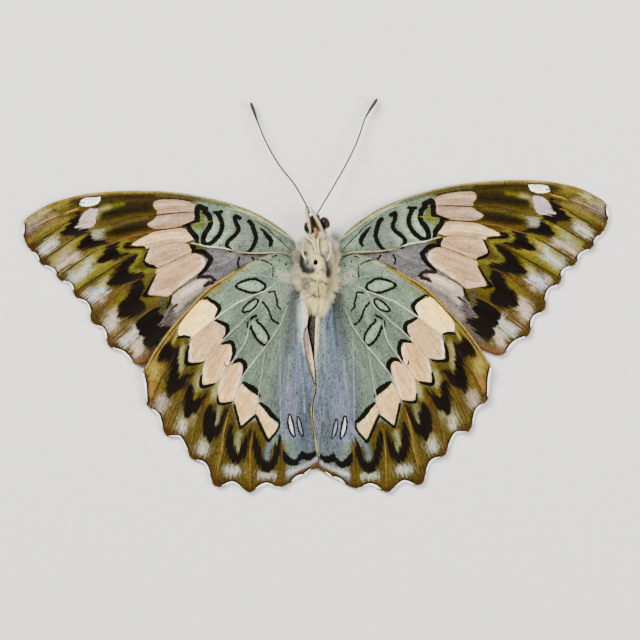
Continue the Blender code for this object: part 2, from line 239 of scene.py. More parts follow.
def make_mesh(name, points, quads, triangles=(), flip=False):
    """Puts points in millimetres, quads and triangles into a new smooth object at the origin."""
    quads = np.asarray(quads, np.int32).reshape(-1, 4)
    triangles = np.asarray(triangles, np.int32).reshape(-1, 3)
    if flip:
        quads, triangles = quads[:, ::-1], triangles[:, ::-1]
    corners = np.concatenate([quads.ravel(), triangles.ravel()])
    sizes = np.concatenate([np.full(len(quads), 4), np.full(len(triangles), 3)]).astype(np.int32)
    mesh = bpy.data.meshes.new(name)
    mesh.vertices.add(len(points))
    mesh.vertices.foreach_set("co", (np.asarray(points) * MM).astype(np.float32).ravel())
    mesh.loops.add(len(corners))
    mesh.loops.foreach_set("vertex_index", corners.astype(np.int32))
    mesh.polygons.add(len(sizes))
    mesh.polygons.foreach_set("loop_start", np.concatenate([[0], np.cumsum(sizes)[:-1]]).astype(np.int32))
    mesh.update(calc_edges=True)
    mesh.validate()
    mesh.shade_smooth()
    thing = bpy.data.objects.new(name, mesh)
    bpy.context.scene.collection.objects.link(thing)
    return thing


def store(thing, name, values):
    """Stores one number, vector or colour per vertex under a name that a material can read."""
    values = np.asarray(values, np.float32)
    if values.ndim == 1:
        thing.data.attributes.new(name, 'FLOAT', 'POINT').data.foreach_set("value", values)
    elif name == "grain":
        thing.data.attributes.new(name, 'FLOAT_VECTOR', 'POINT').data.foreach_set("vector", values.ravel())
    else:
        colours = np.concatenate([values, np.ones((len(values), 1), np.float32)], axis=1)
        thing.data.attributes.new(name, 'FLOAT_COLOR', 'POINT').data.foreach_set("color", colours.ravel())


def finish_piece(thing, material, nodes=()):
    """Gives a piece its material, ties it to the body and hides the solids that it stands for."""
    thing.data.materials.append(material)
    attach(thing, "root")
    if nodes:
        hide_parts(*nodes)
    triangles = sum(len(p.vertices) - 2 for p in thing.data.polygons)
    print(thing.name, "triangles:", triangles)
    return thing

# %% [markdown]
# ## Outlines of the wings
# One forewing and one hindwing are drawn, for the right side. Between two veins the margin draws in
# to a shallow bay, and each vein runs out to a tip. The left wings are mirror images, each turned and
# shifted slightly to where the real one was set. Only the inner edges of the two hindwings are drawn
# apart, because they fold up over the abdomen and nearly meet there.

# %% Wing outlines, mm
def at(*places):
    """A list of points on the plan in millimetres, written at(x,y, x,y)."""
    return [(float(x), float(y)) for x, y in zip(places[::2], places[1::2])]


CELLS = 7                                               # spaces between veins along a margin
VEIN_TIPS = [4 * cell for cell in range(CELLS + 1)]     # the tips' places in the lists for the margins

FORE_ROOT = at(2.75,6.9, 2.85,5.2, 2.95,3.2)
FORE_LEADING = at(2.75,6.9, 5,9.3, 8,11.4, 11,12.8, 14,13.8, 17,14.6, 20,15.15, 23,15.45, 26,15.65, 29,15.65,
    32,15.45, 36,14.6, 39.05,13.1, 39.85,12.3)
FORE_MARGIN = FORE_LEADING[-1:] + at(
    39.9,12.1, 40,11.4, 40.15,10.7, 39.6,9.2,
    38.9,8, 38.35,7.65, 38.12,6.95, 37.75,6.4,
    37.3,6.1, 36.45,5.65, 35.85,4.75, 35.4,4.1,
    34.85,3.8, 34.1,3.5, 33.68,2.6, 33.55,2,
    33,1.2, 32,0.75, 31.5,-0.4, 31.4,-1.8,
    30.65,-2.6, 29.9,-3, 29.5,-4.4, 29.2,-5.4,
    28.6,-5.85, 27.5,-6.3, 26.2,-7.7, 25,-8.3, 22.8,-7.5)
FORE_INNER = at(2.95,3.2, 7,1.6, 13,-0.9, 19,-4.6, 22.8,-7.5)

HIND_ROOT = at(2.95,3.5, 2.75,1.8, 2.35,0.4, 1.75,-0.5)
HIND_LEADING = at(2.95,3.5, 3.5,4.6, 4.5,5.25, 6,5.45, 8.3,4.7, 10,4, 12,2.9, 15,1.05, 17.4,-1.3, 20.1,-4.1,
    22.3,-7, 23.6,-9.2)
HIND_MARGIN = HIND_LEADING[-1:] + at(
    23.95,-10.1, 23.7,-12, 23.6,-13.9, 23.4,-14.5,
    22.9,-15, 22,-15.9, 21.5,-17.5, 21.1,-18.5,
    20.6,-18.85, 19.2,-19, 18.15,-20.9, 17.7,-21.9,
    16.9,-22.3, 15.8,-22.85, 15.2,-24.3, 14.6,-25.8,
    13.5,-26, 12.1,-25.6, 10.95,-26.3, 9.85,-27,
    8.85,-26.6, 7.4,-26, 6.6,-26.25, 5.35,-26.45,
    3.85,-25.75, 3.2,-25.3, 2.5,-25, 1.94,-24.8, 1.4,-24.35)
RIGHT_INNER = at(1.75,-0.5, 0.9,-1.7, 0.1,-2.8, -0.02,-4.4, -0.06,-6, -0.14,-7.4, -0.15,-8.9, 0.05,-10.5,
    0.13,-11.8, 0.15,-12.9, -0.35,-16.2, 0.35,-20.6, 0.5,-23.9)
LEFT_INNER = at(-1.45,-0.4, -1.15,-1.7, -0.8,-3, -0.98,-4.5, -0.65,-6.4, -0.3,-8.2, -0.2,-8.9, -0.02,-10.5,
    0.06,-11.8, 0.08,-12.9, -0.45,-16.2, 0.25,-20.6, 0.38,-23.75)

# How the mirror image of each right wing is turned (rows of a matrix) and shifted to the left one.
LEFT_FORE_SET = (np.array([[0.9969, 0.0573], [-0.0666, 0.9954]]), np.array([-0.524, 0.341]))
LEFT_HIND_SET = (np.array([[0.9984, 0.0236], [-0.0494, 0.9978]]), np.array([-0.111, 0.397]))
RIGHT_SET = None


def placed(points, setting):
    """Drawn right-hand points to where they lie: as they are, or turned, shifted and mirrored."""
    if setting is None:
        return np.asarray(points, float)
    turn, shift = setting
    return (np.asarray(points, float) @ turn.T + shift) * (-1.0, 1.0)


def as_drawn(points, setting):
    """The way back: where points of a placed wing are on the drawn right-hand wing."""
    if setting is None:
        return points
    turn, shift = setting
    return (points * (-1.0, 1.0) - shift) @ np.linalg.inv(turn).T

# %% [markdown]
# ## Height of the wings
# Set wings dry flat, but not dead flat. Each rises towards its root, the hindwing lies on the
# forewing and steps down past its edge, and the inner folds of the hindwings arch over the abdomen.
# Between the veins the membrane sinks, so the margin runs up and down like a shallow pleat.

# %% Height of the wings
WING_LOW = 0.42
ROOT_RISE = 1.3
ROOT_REACH = 13.0
WING_STACK = 0.65
FOLD_HEIGHT = 3.0
FOLD_REACH = 2.6
PLEAT = 0.13


def fore_height(drawn, lying):
    """The low level plus a rise that dies away from the root as a bell curve."""
    reach = np.hypot(drawn[..., 0] - 2.8, drawn[..., 1] - 4.5) / ROOT_REACH
    return WING_LOW + ROOT_RISE * np.exp(-reach ** 2)


def hind_height(drawn, lying):
    """A step above the forewing, eased down past the forewing's edge; where the fold over the
    abdomen is higher, the fold, joined by a smooth maximum: half of a + b + root((a - b)^2 + s)."""
    start, end = np.array(FORE_INNER[0]), np.array(FORE_INNER[-1])
    edge = (end - start) / np.linalg.norm(end - start)
    past_edge = (drawn[..., 0] - start[0]) * edge[1] - (drawn[..., 1] - start[1]) * edge[0]
    over = fore_height(drawn, lying) + WING_STACK
    sheet = over + (WING_LOW - over) * ease(past_edge / 9.0)
    y = drawn[..., 1]
    fold = FOLD_HEIGHT * (1.0 - ease((-9.0 - y) / 10.0)) * np.exp(-(lying[..., 0] / FOLD_REACH) ** 2)
    fold = fold * ease((0.5 - y) / 3.0)
    return 0.5 * (sheet + fold + np.sqrt((sheet - fold) ** 2 + 0.05))


def pleats(margin, columns, rows):
    """Minus one in the middle of each bay and plus one on each vein, as a cosine of the place along
    the margin, faded in away from the root and out towards the first and last columns."""
    tips = length_shares(np.asarray(margin, float))[VEIN_TIPS]
    u = np.linspace(0.0, 1.0, columns + 1)
    v = np.linspace(0.0, 1.0, rows + 1)
    wave = np.cos(2 * math.pi * np.interp(u, tips, np.arange(CELLS + 1), right=CELLS))
    fade = ease((v - 0.15) / 0.5)[None, :] * (ease(u / 0.2) * ease((1.0 - u) / 0.12))[:, None]
    return PLEAT * wave[:, None] * fade

# %% [markdown]
# ## Painting with outlines
# A butterfly's colours are millions of single-coloured scales, so an edge between two colours is
# ragged at close range. The painter therefore stores, for each vertex, how far it is from the edge of
# the nearest mark, negative inside, with that mark's colour. The shader adds fine noise to the
# distance before it decides between ground and mark, which gives crisp ragged edges on a coarse grid.
# Soft washes go straight into the ground colour. Five layers lie over it: pearly glows, pale patches,
# dusky streaked marks, crisp dark marks and fine lines.

# %% Painter
LAYERS = ("glow", "patch", "dusk", "mark", "line")
STORED_LAYERS = ("ground",) + LAYERS + tuple(layer + "_tint" for layer in LAYERS)
FAR = 2.0
TINT_REACH = 0.15


def paint_value(hex_colour):
    """A colour as the eye spaces it, the square root of linear, so that mixed paint looks even."""
    return np.sqrt(linear(hex_colour))


def blank(drawn, ground):
    """A skin of one ground colour with no marks on it."""
    count = len(drawn)
    skin = {"drawn": drawn, "ground": np.tile(paint_value(ground), (count, 1)), "relief": np.zeros(count)}
    for layer in LAYERS:
        skin[layer] = np.full(count, FAR)
        skin[layer + "_tint"] = np.tile(paint_value(ground), (count, 1))
    return skin


def distance_to(points, curve, half_width):
    """The smallest distance to the curve's segments less the half width there. On a segment from s
    along d, the nearest share is (p - s).d / d.d held between 0 and 1."""
    start, step = curve[:-1], np.diff(curve, axis=0)
    reach = points[:, None] - start
    share = np.clip((reach * step).sum(2) / np.maximum((step ** 2).sum(1), 1e-12), 0.0, 1.0)
    gap = reach - share[..., None] * step
    width = half_width[:-1] + share * np.diff(half_width)
    return (np.hypot(gap[..., 0], gap[..., 1]) - width).min(axis=1)


def within(points, loop):
    """A point lies inside where a ray from it to +X crosses the loop an odd number of times."""
    x, y = points[:, :1], points[:, 1:]
    x0, y0 = loop.T
    x1, y1 = np.roll(loop, -1, axis=0).T
    rise = np.where(y1 == y0, 1e-12, y1 - y0)
    return ((y0 > y) != (y1 > y)) & (x < x0 + (y - y0) / rise * (x1 - x0))


def reach_of(skin, path, width, extra):
    """Which vertices lie near a path, and their signed distance to the stroke or closed outline."""
    closed = width is None
    if closed:
        path = list(path) + [path[0]]
    curve = smooth_curve(path, 4)
    widths = np.atleast_1d(0.0 if closed else width)
    half_width = 0.5 * np.interp(length_shares(curve), np.linspace(0, 1, len(widths)), widths)
    border = half_width.max() + extra
    drawn = skin["drawn"]
    near = np.flatnonzero(np.all((drawn > curve.min(0) - border) & (drawn < curve.max(0) + border), axis=1))
    gap = distance_to(drawn[near], curve, half_width)
    if closed:
        crossings = within(drawn[near], curve[:-1]).sum(axis=1)
        gap = np.where(crossings % 2 == 1, -np.abs(gap), np.abs(gap))
    return near, gap


def wash(skin, colour, path, width=None, soft=0.5, strength=1.0):
    """Mixes a colour into the ground. Its edge fades over twice the soft distance."""
    near, gap = reach_of(skin, path, width, soft)
    cover = strength * ease(0.5 - 0.5 * gap / soft)
    skin["ground"][near] += cover[:, None] * (paint_value(colour) - skin["ground"][near])


def lay(skin, layer, colour, path, width=None, soft=1.0, grow=0.0):
    """Puts a mark on a layer. Above 1, soft slows the distance, so that the edge is softer and more
    ragged. The mark is wider than its outline by grow on every side."""
    near, gap = reach_of(skin, path, width, FAR)
    gap = (gap - grow) / soft
    old = skin[layer][near]
    newer = ease(0.5 + (old - gap) / TINT_REACH)
    tint = skin[layer + "_tint"]
    tint[near] += newer[:, None] * (paint_value(colour) - tint[near])
    skin[layer][near] = np.minimum(old, gap)


def vein(skin, colour, path, width=0.14, height=0.07):
    """A fine line on the top layer, thin at both ends, and a rounded ridge of that height under it."""
    lay(skin, "line", colour, path, width * np.array((0.2, 0.9, 1.0, 1.0, 1.0, 0.9, 0.5)))
    near, gap = reach_of(skin, path, width, FAR)
    ridge = height * np.exp(-(np.maximum(gap, 0.0) / 0.16) ** 2)
    skin["relief"][near] = np.maximum(skin["relief"][near], ridge)

# %% [markdown]
# ## Palette
# The colours of the scales, as paint would be mixed. Pigments make the olives, browns and blacks.
# Thin cells under the pale scales scatter light, which makes the sea-green and the pearly streaks.

# %% Palette
SEA_GREEN = "#586555"
PALE_SEA = "#74836c"
MINT = "#8b9c80"
TEAL = "#47565a"
VIOLET_GREY = "#5e6074"
SLATE = "#565453"
LAVENDER = "#76675e"
PEARL = "#b0b19e"
LILAC_WHITE = "#ac9884"
BLUE_WHITE = "#a8b0b6"
STREAK_GREY = "#88835a"
FLESH = "#a88765"
FLESH_GREY = "#96785f"
FLESH_PALE = "#e8c490"
BUTTER = "#fad07a"
OLIVE = "#3f3409"
OLIVE_GREEN = "#47400b"
YELLOW_GREEN = "#5f5911"
LIGHT_OLIVE = "#736926"
DEEP_OLIVE = "#2a2204"
BLACK_OLIVE = "#181202"
SOOT = "#080604"
WARM_SOOT = "#0d0704"
MARGIN_BROWN = "#352105"
TAWNY = "#432f08"
VEIN_BROWN = "#221303"
PALE_GOLD = "#a98a3e"
ORANGE = "#6e4013"
CREAM_LINE = "#a39a66"
WHITE_SCALES = "#f1f1e8"

# %% [markdown]
# ## The forewing's ground
# The ground is painted broad areas first, then streaks: sea-green in the cell, slate below it, olive
# beyond the pale patches, and pale gold rays between the brown veins that run to the margin.

# %% Ground of the forewing
FORE_AREAS = [
    (SEA_GREEN, 0.5, at(2.4,3, 2.4,7.3, 8,11.6, 12,13.2, 16.5,13.4, 17,8.5, 15,7.3, 11.5,6.3, 3,5.3)),
    (SLATE, 0.5, at(2.4,5.1, 8,5.6, 11.5,6.2, 15.4,7.2, 16.4,4, 22,-2.5, 22.6,-7.6, 18,-5, 7,1.2, 2.4,2.8)),
    (DEEP_OLIVE, 0.6, at(21.6,14.3, 29,14.4, 29.6,13, 28.6,10.2, 25,9.2, 22.4,9.8)),
    (BLACK_OLIVE, 0.5, at(22.4,13.9, 26,13.6, 29,13.2, 28.6,12.3, 24,12.5, 22.4,12.7)),
    (BLACK_OLIVE, 0.45, at(22.9,11.3, 25,11.1, 28,10.4, 28.5,9.9, 26,9.5, 23.4,10)),
    (MARGIN_BROWN, 0.6, at(39.9,12.6, 39,10.6, 38,8.4, 36.2,6, 34.6,3.9, 32.6,1.6, 30.9,-0.8, 29.4,-3.2,
     28.2,-5.2, 26.2,-7, 24,-7.4, 22.4,-7, 23.5,-9.5, 33,-4, 42,8)),
]
FORE_STROKES = [
    (TAWNY, 0.9, 0.5, 0.9, at(22,9.9, 25,9.5, 27,9.1, 29,8.4, 31,7.9, 33.5,7.7)),
    (OLIVE, 0.7, 0.5, 0.8, at(22.5,12.1, 25,12, 28,11.6, 29.5,11.3)),
    ("#463a10", 0.5, 0.4, 0.9, at(23,11.8, 25,11.55, 27,11.1, 28.5,10.7)),
    (YELLOW_GREEN, 0.5, 0.4, 0.8, at(26.2,13.9, 27.6,13.6, 29.1,13.3)),
    (STREAK_GREY, 0.6, 0.5, 0.7, at(28.2,13.6, 29.3,13.2, 29.8,12.3)),
    (YELLOW_GREEN, 0.5, 0.4, 0.7, at(28.2,10.7, 29.3,10.5)),
    (YELLOW_GREEN, 0.8, 0.6, 0.6, at(30.8,11, 32,9.2, 33.6,8)),
    (YELLOW_GREEN, 1.0, 0.5, 1.0, at(31.6,9.6, 32.6,9, 33.6,8.1)),
    (LIGHT_OLIVE, 0.6, 0.5, 0.7, at(34,12.3, 36,11.5, 38,10.3, 39.2,9.7)),
    (LIGHT_OLIVE, 0.7, 0.5, 0.9, at(33.6,11.6, 35.2,10.6, 36.5,9.7)),
    (STREAK_GREY, 0.6, 0.5, 0.6, at(35.4,9.9, 36.4,9.2, 37.4,8.6)),
    (LIGHT_OLIVE, 0.8, 0.4, 0.9, at(33,9.2, 34.6,8.2, 36.2,7)),
    (YELLOW_GREEN, 0.9, 0.5, 0.9, at(29.3,8, 31,7.2, 32.5,6.2)),
    (LIGHT_OLIVE, 0.7, 0.4, 0.9, at(29.6,7.4, 31.2,6.5, 33,5.4)),
    (YELLOW_GREEN, 1.0, 0.5, 0.9, at(27.6,6.4, 29.5,5.3, 31.2,4.3, 33,3.2)),
    (LIGHT_OLIVE, 0.6, 0.4, 0.9, at(28.6,6.2, 30.2,5.6, 31.8,4.7, 33.2,3.6)),
    (YELLOW_GREEN, 1.0, 0.5, 0.9, at(28.2,4.6, 28.9,3.8, 29.6,2.8)),
    (TAWNY, 0.9, 0.5, 0.9, at(24.4,3.7, 26,2.8, 28,1.4, 30,-0.4, 31,-1.4)),
    ("#4a3c10", 0.7, 0.5, 0.8, at(26.1,3, 27.8,2.3, 29.2,1.4, 30.6,0.2)),
    (YELLOW_GREEN, 0.7, 0.5, 0.9, at(26.6,1.3, 27.6,0.4, 28.4,-0.7)),
    ("#544614", 0.6, 0.4, 0.9, at(26.5,2.2, 28,0.9, 29.3,-0.6)),
    (TAWNY, 0.9, 0.5, 0.9, at(22.2,-0.3, 24.4,-1.6, 26,-2.6, 27.6,-4, 28.8,-5)),
    ("#4a3c10", 0.5, 0.4, 0.8, at(25.6,-2.2, 27.2,-2.9, 28.6,-3.6)),
    ("#6a4830", 0.9, 0.5, 0.7, at(22.6,-7, 24,-7.6, 25.6,-7.8)),
    ("#4a3c34", 0.9, 0.5, 0.9, at(20.3,-3.6, 21.5,-5, 22.6,-6.4)),
    ("#33383a", 0.5, 0.4, 0.8, at(21.5,0.8, 21.6,-0.2, 21.9,-1.3)),
    (LILAC_WHITE, 0.9, 0.5, 1.0, at(14.6,2.2, 16.5,1.3, 18.3,0.3, 19.6,-0.9)),
    (LAVENDER, 1.2, 0.5, 1.0, at(13.4,1, 15.5,0.2, 18,-1.6, 20,-2.9)),
    (LAVENDER, 0.5, 0.4, 0.7, at(20.3,-1, 21.2,-2.3, 22.2,-3.3)),
    ("#3a302c", 0.9, 0.5, 0.8, at(20.4,-2.2, 21.2,-3.2, 22.3,-4.4)),
]
FORE_GLOW = [
    (STREAK_GREY, 0.7, 0.45, at(37.6,12.8, 38.4,12.55, 39.1,12.2)),
    (LAVENDER, 0.7, 0.4, at(37.4,12.1, 38.4,11.7, 39.2,11.3)),
    (CREAM_LINE, 0.5, 0.4, at(36,13.85, 36.8,13.5, 37.6,13.1)),
    ("#7e6a48", 0.7, 0.4, at(35.6,12.7, 36.8,12.4, 37.6,12)),
    (PEARL, 0.8, 0.5, at(36,9.1, 36.7,8.8, 37.2,8.3)),
    (STREAK_GREY, 0.9, 0.5, at(34,8, 34.8,7.2, 35.8,6.3)),
    (LILAC_WHITE, 0.8, 0.4, at(33,7.1, 34.3,6.6, 35.3,5.8)),
    (PEARL, 0.7, 0.5, at(34.4,7.7, 34.8,7.1, 35.3,6.7)),
    (PEARL, 1.0, 0.5, at(31.4,5.9, 32.4,5, 33.4,4.2)),
    (CREAM_LINE, 0.5, 0.4, at(30.6,6.4, 31.8,5.8, 33,4.9)),
    (CREAM_LINE, 0.8, 0.5, at(29.2,3.2, 29.8,2.8, 30.2,2.4)),
    (BLUE_WHITE, 1.3, 0.6, at(29.8,2.3, 30.5,1.9, 31,1.5)),
    (LILAC_WHITE, 0.9, 0.5, at(30.1,1.2, 31,1.6, 31.5,1.9)),
    (CREAM_LINE, 0.7, 0.5, at(28,-0.8, 28.3,-1.2)),
    (LILAC_WHITE, 1.5, 0.6, at(28.2,-1.4, 28.7,-2, 28.8,-2.7)),
    (PEARL, 0.7, 0.4, at(28.4,-1.6, 28.9,-2.1)),
    (PEARL, 1.3, 0.6, at(25.3,-3.6, 26.2,-4.4, 26.9,-4.9)),
    (LILAC_WHITE, 1.3, 0.6, at(24.8,-5.3, 25.4,-5.8, 25.3,-6.4)),
    (PEARL, 0.5, 0.3, at(24.3,-4.3, 24.9,-4.9, 25.6,-5.2)),
    (LIGHT_OLIVE, 0.6, 0.4, at(34,14.5, 35.2,14.1, 36.2,13.9)),
]


def fore_ground(skin):
    for colour, soft, loop in FORE_AREAS:
        wash(skin, colour, loop, None, soft)
    for colour, width, soft, strength, path in FORE_STROKES:
        wash(skin, colour, path, width, soft, strength)
    for colour, width, soft, path in FORE_GLOW:
        lay(skin, "glow", colour, path, width, 3.0)

# %% [markdown]
# ## Marks of the forewing
# Wavy black bars cross the cell, a band of flesh-coloured patches follows, each edged with black on
# both sides, and a dark chevron with an olive heart lies in each space between two veins.

# %% Cell bars, black with ragged edges
FORE_CELL_BARS = [
    ((0.2, 0.35, 0.5, 0.5, 0.3), at(7.5,9.15, 7.1,8.8, 6.7,8.2, 6.3,7.7, 6.2,7.1, 6.4,6.7)),
    ((0.5, 0.5, 0.45, 0.3), at(9,10.3, 8.7,9.9, 8.5,9.3, 8.3,8.6, 8.2,8, 8.4,7.4, 8.7,6.8, 9.1,6.3, 9.5,6.05,
     9.8,6)),
    (0.45, at(10.3,10.85, 10.9,11.05, 10.9,10.4, 10.6,9.7, 10.55,9.2, 10.9,8.7, 11.5,8.2, 12.15,7.6, 12.2,7,
     11.8,6.5)),
    (0.35, at(12.7,11.85, 13.2,11.85, 13.7,11.85)),
    (0.5, at(13.25,11.7, 12.95,11, 12.75,10.3, 12.8,9.6, 13.1,8.9, 13.6,8.3, 14.2,7.8, 14.9,7.5, 15.3,7.45)),
    (0.55, at(15,12, 14.5,11.5, 14.35,10.9, 14.3,10.4, 14.5,9.9, 15,9.3, 15.25,8.9, 15.4,8.3, 15.45,7.9,
     15.3,7.6)),
    (0.6, at(14.9,12.4, 15.7,12.75, 16,12.6, 16.1,12, 16.1,11.4, 16.15,10.9)),
    ((0.2, 0.45, 0.6, 0.6, 0.5), at(18.1,10.25, 17.4,10.35, 17.3,9.9, 17,9.4, 16.6,8.9, 16.3,8.4, 16.3,7.9)),
    ((0.5, 0.3), at(16.2,10.75, 16.8,10.6, 17.6,10.3)),
    ((0.25, 0.6, 0.3), at(17.3,7.6, 16.9,7.35, 16.9,6.8)),
    ((0.3, 0.55, 0.55, 0.5, 0.3), at(17,6.7, 16.2,6.7, 15.5,6.5, 15.1,6.1, 14.6,5.6, 14.75,5.1, 15,4.7,
     15.3,4.3, 15.7,3.9, 16.3,3.4)),
    (0.2, at(10.6,5.4, 10.9,4.8, 10.8,4.2)),
    (0.22, at(8.9,5.3, 8.5,4.8)),
]
FORE_CELL_TINTS = [
    (PALE_SEA, None, 0.4, at(13.6,11.7, 14,11, 13.9,10.2, 14.3,9.5, 15,8.5, 15,7.9, 14.2,8.2, 13.4,9.2,
     13.2,10.3)),
    (MINT, 0.5, 0.3, at(14.2,9, 14.7,8.5, 15,8.1)),
    (MINT, 0.5, 0.4, at(13.9,10.3, 14,9.5, 14.6,8.6)),
    ("#4a5020", 0.7, 0.3, at(15.4,12.1, 15.5,11.3, 15.6,10.3)),
    ("#55621f", 0.9, 0.4, at(15.7,10.3, 16.2,9.9, 16.4,9.4)),
    ("#57704a", 0.7, 0.4, at(16.1,9.6, 16.2,9)),
    (PALE_SEA, 0.9, 0.5, at(10.5,8.2, 11.3,7.6, 11.4,7)),
    (PALE_SEA, 0.9, 0.5, at(11.9,11.9, 11.9,10.5, 11.8,9.4)),
    (MINT, 0.6, 0.5, at(12.4,8.8, 13,8, 13.8,7.6)),
    ("#6a6a64", 0.6, 0.4, at(9.6,9.5, 9.3,8.4, 9.5,7.3)),
    ("#6c625c", 0.6, 0.3, at(8.9,5.1, 9.7,4.8, 10.4,4.7)),
    (PALE_SEA, 0.7, 0.5, at(4,6.6, 5.4,7, 5.8,8)),
    ("#5d5c5d", 0.9, 0.5, at(11.5,5.6, 13.5,5.5, 14.4,5.8)),
]

# %% Patches of the forewing
FORE_PATCHES = [
    (FLESH_GREY, at(16.15,12.85, 17.1,13.5, 19,13.9, 21.4,14, 21.95,13.5, 21.8,13, 21.4,12.5, 21.4,12.2,
     19,12.25, 16.45,12.25)),
    (FLESH_GREY, at(16.45,12, 16.5,11.1, 17.3,10.8, 18.5,10.35, 20,10.15, 21.5,10.2, 22.4,10.35, 22.9,10.8,
     22.4,11.15, 21.9,11.5, 21.4,11.85, 19,12)),
    (FLESH, at(16.75,8.5, 17.4,9.2, 18.1,9.9, 20,9.9, 22,9.7, 23,9.3, 24,8.9, 24.8,8.45, 25.2,8.15,
     23.6,7.95, 23.3,7.6, 22.8,7.6, 21,8, 19,8.15, 17.8,8.1)),
    (FLESH, at(17.25,7.6, 19,7.95, 21,7.85, 22.85,7.45, 23.1,6.9, 23.35,6.3, 23.6,5.8, 22.8,5.3, 22.1,4.95,
     21.2,5.1, 19,5.95, 17.2,6.6)),
    (FLESH, at(16.6,6.4, 15.9,6, 15.4,5.3, 15.4,4.7, 15.7,4.2, 16.6,3.6, 18.5,2.4, 20,1.4, 20.5,0.95,
     21.2,0.9, 22,1.05, 22.9,1.15, 23.3,1.35, 23.1,1.9, 22.7,2.6, 22.3,3.5, 22.1,4.4, 21.5,4.75, 19.5,5.5,
     18,6.2)),
    ("#a08c7c", at(15.2,2.6, 15.9,2.9, 17,2.6, 18.5,1.9, 20,0.9, 20.3,0.2, 19.8,-0.4, 18.6,0.2, 17,1,
     15.8,1.8)),
]
FORE_PATCH_TINTS = [
    (FLESH_PALE, 0.45, 0.25, 0.95, at(17,8.55, 19.5,8.75, 22,8.5, 23.6,8.25, 24.8,8.15)),
    (FLESH_PALE, 0.3, 0.25, 0.7, at(18.6,9.3, 21,9.2, 23,8.9)),
    ("#cfae86", 0.5, 0.3, 0.8, at(22.6,9.1, 24,8.6, 24.8,8.3)),
    ("#b9a48a", 0.4, 0.3, 0.8, at(22.6,7.85, 23.3,7.85)),
    ("#c8a888", 0.3, 0.3, 0.7, at(17.8,13.3, 20,13.4, 21.6,13.3)),
    ("#b39a97", 0.5, 0.4, 0.7, at(20,11.3, 22.2,10.9)),
    (LILAC_WHITE, 0.4, 0.3, 0.8, at(21.9,11, 22.6,10.8)),
    ("#bfa08a", 0.5, 0.35, 0.8, at(22.9,6.9, 23.3,5.9)),
    ("#8e7458", 0.7, 0.5, 0.5, at(18.5,7.2, 21,6.3)),
    ("#d2b79b", 0.45, 0.3, 0.9, at(15.75,5.8, 15.6,4.9, 16.2,4.1, 17.5,3.3, 19,2.4)),
    ("#c9a98a", 0.5, 0.35, 0.8, at(20.8,1.3, 22.9,1.6, 22.6,2.4)),
    ("#a1815f", 0.8, 0.5, 0.6, at(18,4.9, 20.6,3.6)),
    ("#c8b49c", 0.4, 0.3, 0.9, at(15.6,2.5, 17,2, 18.8,0.9)),
]

# %% Black edges, chevrons and other dark marks
FORE_DARK = [
    (SOOT, 0.3, 1.0, at(22.95,7.5, 23.25,7, 23.55,6.3, 23.7,5.8)),
    (SOOT, (0.3, 0.55, 0.4), 1.0, at(23.75,5.8, 23.3,5.3, 22.6,5.02, 22.2,4.85)),
    (SOOT, (0.2, 0.3, 0.3, 0.45), 1.0, at(22.15,4, 22.5,3.4, 22.95,2.7, 23.3,2.1, 23.7,1.55, 24,1.15)),
    (SOOT, (0.45, 0.25, 0.1), 1.3, at(23.9,1.1, 23.3,0.95, 22.4,0.98)),
    (SOOT, (0.25, 0.25, 0.5), 1.0, at(23.5,7.68, 24.6,7.75, 25.6,7.85, 26.2,8)),
    (SOOT, 0.45, 1.6, at(25.4,8.35, 26,8.3)),
    (SOOT, (0.3, 0.35, 0.2), 1.3, at(19.55,-0.4, 20.3,-1, 20.8,-1.7, 21.4,-2.4)),
    (SOOT, (0.3, 0.4, 0.3), 1.5, at(20.25,0.85, 20.5,0, 21,-0.8)),
    (SOOT, 0.25, 1.5, at(21.6,-1.9, 21.9,-2.4, 22.2,-2.9)),
    ("#1d0f10", 0.5, 1.6, at(14.2,2.55, 14.9,3.1, 16.4,3.1)),
    ("#1d0f10", 0.6, 1.8, at(14.5,2.3, 15.2,2.1, 15.6,1.9)),
    (SOOT, 0.16, 1.2, at(31.4,14.4, 32.1,14.35, 32.5,13.8)),
]
FORE_CHEVRONS = [
    at(32.2,13, 33,12.1, 33.6,11.5, 34.3,10.7, 34.6,10.25, 33.5,10.2, 32,10.3, 31.3,10.6, 32.8,10.75,
     33,11.3, 32.4,12.2),
    at(31,10, 31.6,9.5, 32,8.9, 32.4,8.25, 31,8.4, 29.5,8.75, 28.5,8.6, 29.6,8.95, 30.6,9.1),
    at(27.1,8.5, 28.2,8.3, 28.7,7.7, 29,7.2, 29.6,6.5, 30,6.1, 28.9,6.4, 27.5,6.5, 26,6.9, 27.2,7.1,
     27.65,7.8),
    at(24.8,6.7, 25.9,6, 27,5.2, 27.9,4.2, 28.3,3.6, 28.9,3, 27.5,2.9, 26.4,3.1, 25.3,3.3, 24,4.1, 25.2,4.1,
     26,4.3, 26.1,5, 25.3,5.8),
    at(24.3,3.2, 25,2.9, 25.5,2.4, 25.9,1.6, 26.3,1, 26.9,0.4, 27.3,-0.3, 27.6,-1, 27.5,-1.6, 26.8,-1.5,
     26,-1.7, 25.1,-1.6, 24,-0.8, 24.2,0.1, 24.8,0.6, 24.4,1.5, 24,2.4),
    at(22.1,-0.8, 23,-0.9, 24.3,-1.8, 24.9,-2.3, 25.2,-2.9, 24.9,-3.6, 24.6,-4.3, 24.2,-4.6, 24.4,-5.2,
     23.7,-6, 22.9,-5.7, 22.2,-5.1, 21.5,-4.2, 21,-3.6, 21.9,-3.5, 22.2,-3, 21.9,-2, 22.3,-1.6),
]
